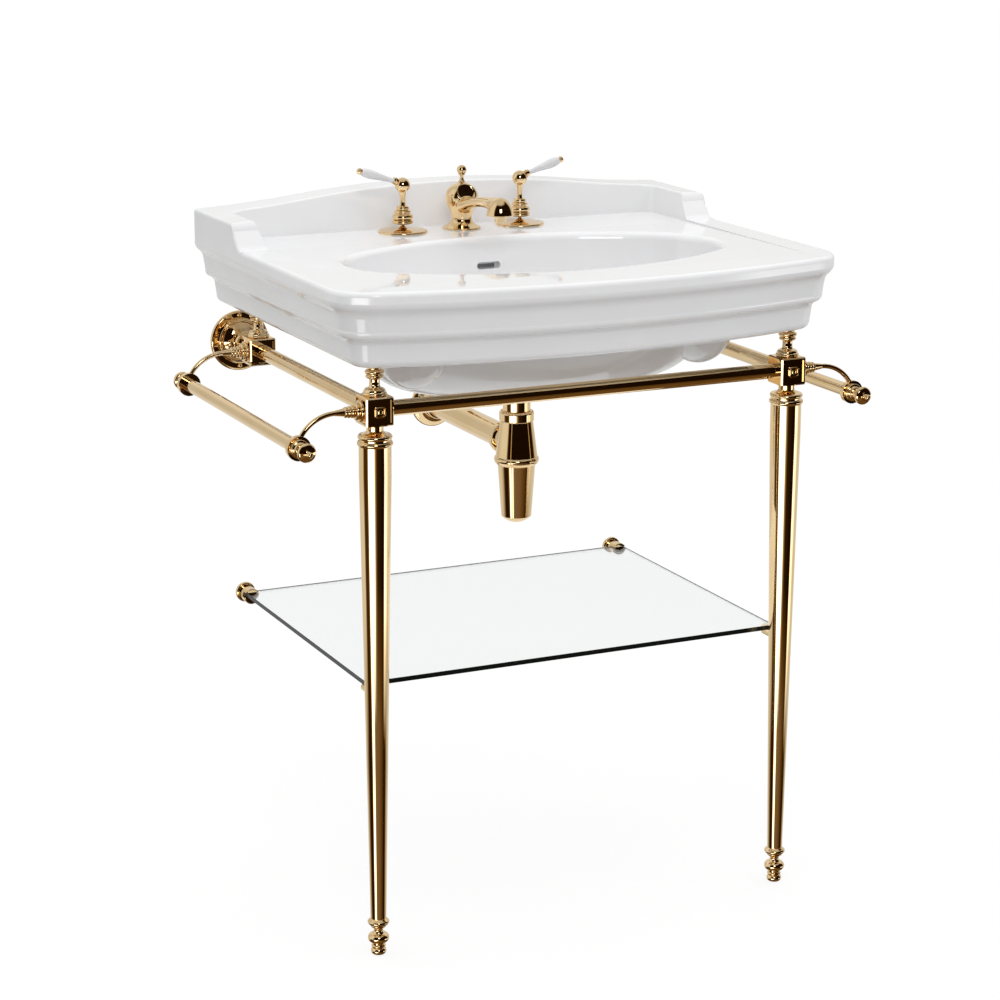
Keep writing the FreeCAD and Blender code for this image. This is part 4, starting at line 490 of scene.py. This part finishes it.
def makeCaps(shape):
    # plain rounded-square caps with a raised rim and a small boss
    caps = []
    half = shape["rows"][0][0]
    for x in shape["across"]:
        bpy.ops.object.select_all(action="DESELECT")
        bpy.ops.mesh.primitive_plane_add(size=2 * half * mm)
        bpy.ops.object.mode_set(mode="EDIT")
        bpy.ops.mesh.select_all(action="SELECT")
        bpy.ops.mesh.bevel(offset=shape["corner"] * mm, segments=shape["cornerSteps"],
                           affect="VERTICES")
        bpy.ops.object.mode_set(mode="OBJECT")
        rows = [(r, r, 0, up) for r, up in shape["rows"]]
        caps.append(drawnUp("cap", rows, (x, *shape["at"]), ("X", 90)))
    dress(joined("panel_caps", caps), "polished_gold", "console", "block_caps")


makeSpout(spoutShape)
makeGrips(gripShape)
makeScrews(screwShape)
makeCaps(capShape)
print("pieces made")


floorLook = {
    "half": 60,
    "drop": 0.0005,  # below the feet, so that their faces don't share the floor's plane
    "light": "#FFFFFF",
    "deep": "#FEFEFE",
    "mottle": 0.8,
    "mottleFrom": (0.3, 0.7),
    "bounce": "#C4C4C4",
    "glow": 0.86,
}


def lightPath(tree, *kinds):
    # one where the ray is of any of these kinds
    paths = addNode(tree, "ShaderNodeLightPath")
    found = paths.outputs[kinds[0]]
    for kind in kinds[1:]:
        found = addNode(tree, "ShaderNodeMath", {"operation": "MAXIMUM"},
                        links={0: found, 1: paths.outputs[kind]}).outputs[0]
    return found


def makeFloor(look):
    # white to the eye with the object's faint shadow, grey to the light that it sends back
    bpy.ops.mesh.primitive_plane_add(size=2 * look["half"], location=(0, 0, -look["drop"]))
    floor = bpy.context.object
    floor.name = "floor"
    floor.visible_glossy = False
    material, tree = newMaterial("pale_floor")
    point = addNode(tree, "ShaderNodeTexCoord").outputs["Object"]
    mottle = addNode(tree, "ShaderNodeTexNoise", values={"Scale": 1 / look["mottle"], "Detail": 2},
                     links={"Vector": point})
    deepFrom, lightFrom = look["mottleFrom"]
    colour = addNode(tree, "ShaderNodeValToRGB", links={"Fac": mottle.outputs["Fac"]},
                     stops=[(deepFrom, fromHex(look["deep"])), (lightFrom, fromHex(look["light"]))])
    plain = addNode(tree, "ShaderNodeBsdfDiffuse", links={"Color": colour.outputs["Color"]})
    glow = addNode(tree, "ShaderNodeEmission", links={"Color": colour.outputs["Color"]})
    seen = addNode(tree, "ShaderNodeMixShader", values={0: look["glow"]},
                   links={1: plain.outputs[0], 2: glow.outputs[0]})
    bounce = addNode(tree, "ShaderNodeBsdfDiffuse", values={"Color": fromHex(look["bounce"])})
    shader = addNode(tree, "ShaderNodeMixShader",
                     links={0: lightPath(tree, "Is Camera Ray", "Is Transmission Ray"),
                            1: bounce.outputs[0], 2: seen.outputs[0]})
    addNode(tree, "ShaderNodeOutputMaterial", links={"Surface": shader.outputs[0]})
    floor.data.materials.append(material)


# The studio that the world shows. Each row of levels is (angle from the front towards the
# right in degrees, level), and each pair ending in From is a span of heights, by the upward
# share of the direction: low screens, high ones, and upper ones that the taps show.
studio = {
    "high": [(-180, 0.8), (-160, 0.7), (-145, 0.75), (-118, 0.75), (-110, 0.2), (-105, 0.06),
             (-82, 0.05), (-74, 0.4), (-66, 5.0), (-36, 5.0), (-27, 0.8), (-18, 0.2),
             (-8, 0.03), (38, 0.005), (44, 0.06), (51, 2.5), (72, 1.2), (82, 0.7), (95, 0.7),
             (130, 0.75), (180, 0.8)],
    "low": [(-180, 0.8), (-150, 0.6), (-130, 0.25), (-115, 0.05), (-105, 0.015), (-82, 0.02),
            (-72, 0.25), (-66, 3.0), (-50, 3.0), (-44, 0.4), (-38, 0.2), (0, 0.17), (20, 0.12),
            (38, 0.07), (46, 0.02), (64, 0.015), (74, 0.1), (86, 0.45), (105, 0.6), (130, 0.7),
            (180, 0.8)],
    "upper": [(-180, 0.8), (-160, 0.6), (-146, 0.62), (-120, 0.8), (-84, 0.78), (-76, 0.06),
              (-70, 0.01), (60, 0.01), (84, 0.02), (96, 0.6), (130, 0.7), (160, 0.75),
              (180, 0.8)],
    "soft": [(-180, 0.45), (-100, 0.3), (-60, 0.2), (-10, 0.28), (60, 0.38), (120, 0.46),
             (180, 0.45)],
    "brightest": 5.0,
    "tint": [(0.0, "#FFB04C"), (0.12, "#FFC26C"), (0.3, "#FFF1DC"), (0.6, "#FFFFFC")],
    "floorLevel": 0.13,
    "floorFrom": (-0.6, -0.5),
    "lowFrom": (-0.36, -0.31),
    "upperFrom": (-0.165, -0.15),
    "ceilingFrom": (0.78, 0.9),
    "ceilingLevel": 0.6,
    "softTop": 1.55,
    "softTopFrom": (0.1, 0.95),
}


def levelsRound(tree, place, stops, brightest):
    # a ramp of greys round the studio, brought back to its levels
    greys = [((angle + 180) / 360, (*[level / brightest] * 3, 1)) for angle, level in stops]
    band = addNode(tree, "ShaderNodeValToRGB", links={"Fac": place}, stops=greys)
    level = addNode(tree, "ShaderNodeMapRange", values=between((0, 1), (0, brightest)),
                    links={"Value": band.outputs["Color"]})
    return level.outputs["Result"]


def blendLevels(tree, height, span, below, above):
    # from one level to the other as the direction climbs through a span of heights
    share = addNode(tree, "ShaderNodeMapRange", values=between(span, (0, 1)),
                    links={"Value": height})
    ends = {"A": below, "B": above}
    fixed = {socket: level for socket, level in ends.items() if isinstance(level, float)}
    linked = {socket: level for socket, level in ends.items() if socket not in fixed}
    blend = addNode(tree, "ShaderNodeMix", {"data_type": "FLOAT"}, fixed,
                    {"Factor": share.outputs["Result"], **linked})
    return blend.outputs["Result"]


def makeWorld(look):
    # white to the eye, a studio of pale and black screens to glossy rays, soft to the rest
    world = bpy.data.worlds.new("studio")
    bpy.context.scene.world = world
    world.use_nodes = True
    tree = world.node_tree
    tree.nodes.clear()
    direction = addNode(tree, "ShaderNodeTexCoord").outputs["Generated"]
    axes = addNode(tree, "ShaderNodeSeparateXYZ", links={"Vector": direction})
    height = axes.outputs["Z"]
    frontward = addNode(tree, "ShaderNodeMath", {"operation": "MULTIPLY"}, {1: -1},
                        {0: axes.outputs["Y"]})
    angle = addNode(tree, "ShaderNodeMath", {"operation": "ARCTAN2"},
                    links={0: axes.outputs["X"], 1: frontward.outputs[0]})
    turn = addNode(tree, "ShaderNodeMapRange", values=between((-math.pi, math.pi), (0, 1)),
                   links={"Value": angle.outputs[0]})
    upper, high, low, soft = (
        levelsRound(tree, turn.outputs["Result"], look[name], look["brightest"])
        for name in ("upper", "high", "low", "soft"))
    screens = blendLevels(tree, height, look["lowFrom"], low, high)
    screens = blendLevels(tree, height, look["upperFrom"], screens, upper)
    screens = blendLevels(tree, height, look["floorFrom"], look["floorLevel"], screens)
    screens = blendLevels(tree, height, look["ceilingFrom"], screens, look["ceilingLevel"])
    soft = blendLevels(tree, height, look["softTopFrom"], soft, look["softTop"])
    tint = addNode(tree, "ShaderNodeValToRGB", links={"Fac": screens},
                   stops=[(level, fromHex(code)) for level, code in look["tint"]])
    white = {"Color": (1, 1, 1, 1)}
    glossy = addNode(tree, "ShaderNodeBackground",
                     links={"Color": tint.outputs["Color"], "Strength": screens})
    diffuse = addNode(tree, "ShaderNodeBackground", values=white, links={"Strength": soft})
    plain = addNode(tree, "ShaderNodeBackground", values=white)
    unseen = addNode(tree, "ShaderNodeMixShader",
                     links={0: lightPath(tree, "Is Glossy Ray"),
                            1: diffuse.outputs[0], 2: glossy.outputs[0]})
    shader = addNode(tree, "ShaderNodeMixShader",
                     links={0: lightPath(tree, "Is Camera Ray", "Is Transmission Ray"),
                            1: unseen.outputs[0], 2: plain.outputs[0]})
    addNode(tree, "ShaderNodeOutputWorld", links={"Surface": shader.outputs[0]})


lamps = [
    {"name": "window_box", "at": (-1.12, -3.27, 2.56), "to": (0, 0.18, 0.87),
     "size": (1.1, 1.2), "watts": 20, "inGloss": True},
    {"name": "key_right", "at": (1.6, -2.2, 2.6), "to": (0, 0, 0.7),
     "size": (1.6, 1.6), "watts": 4, "inGloss": False},
]


def makeLamp(spec):
    bpy.ops.object.light_add(type="AREA", location=spec["at"])
    lamp = bpy.context.object
    lamp.name = spec["name"]
    lamp.visible_glossy = spec["inGloss"]
    lamp.data.shape = "RECTANGLE"
    lamp.data.size, lamp.data.size_y = spec["size"]
    lamp.data.energy = spec["watts"]
    aim = Vector(spec["to"]) - Vector(spec["at"])
    lamp.rotation_euler = aim.to_track_quat("-Z", "Y").to_euler()


# The viewpoint of the photo; its focal length is in pixels of a picture 1000 pixels wide.
cameraPlan = {
    "at": (-1.4703, -3.0605, 1.3723),
    "turn": 24.497,
    "dip": 12.353,
    "focalPixels": 2726.6,
    "pixels": 1000,
    "sensor": 36,
    "shift": (0.0335, -0.1),
}


def makeCamera(plan):
    dip, turn = math.radians(90 - plan["dip"]), math.radians(-plan["turn"])
    bpy.ops.object.camera_add(location=plan["at"], rotation=(dip, 0, turn))
    camera = bpy.context.object
    camera.name = "photo_camera"
    camera.data.sensor_width = plan["sensor"]
    camera.data.lens = plan["focalPixels"] * plan["sensor"] / plan["pixels"]
    camera.data.shift_x, camera.data.shift_y = plan["shift"]
    camera.data.dof.use_dof = False
    bpy.context.scene.camera = camera


makeFloor(floorLook)
makeWorld(studio)
for spec in lamps:
    makeLamp(spec)
makeCamera(cameraPlan)
bpy.context.scene.view_settings.view_transform = "Standard"
print("stage set")
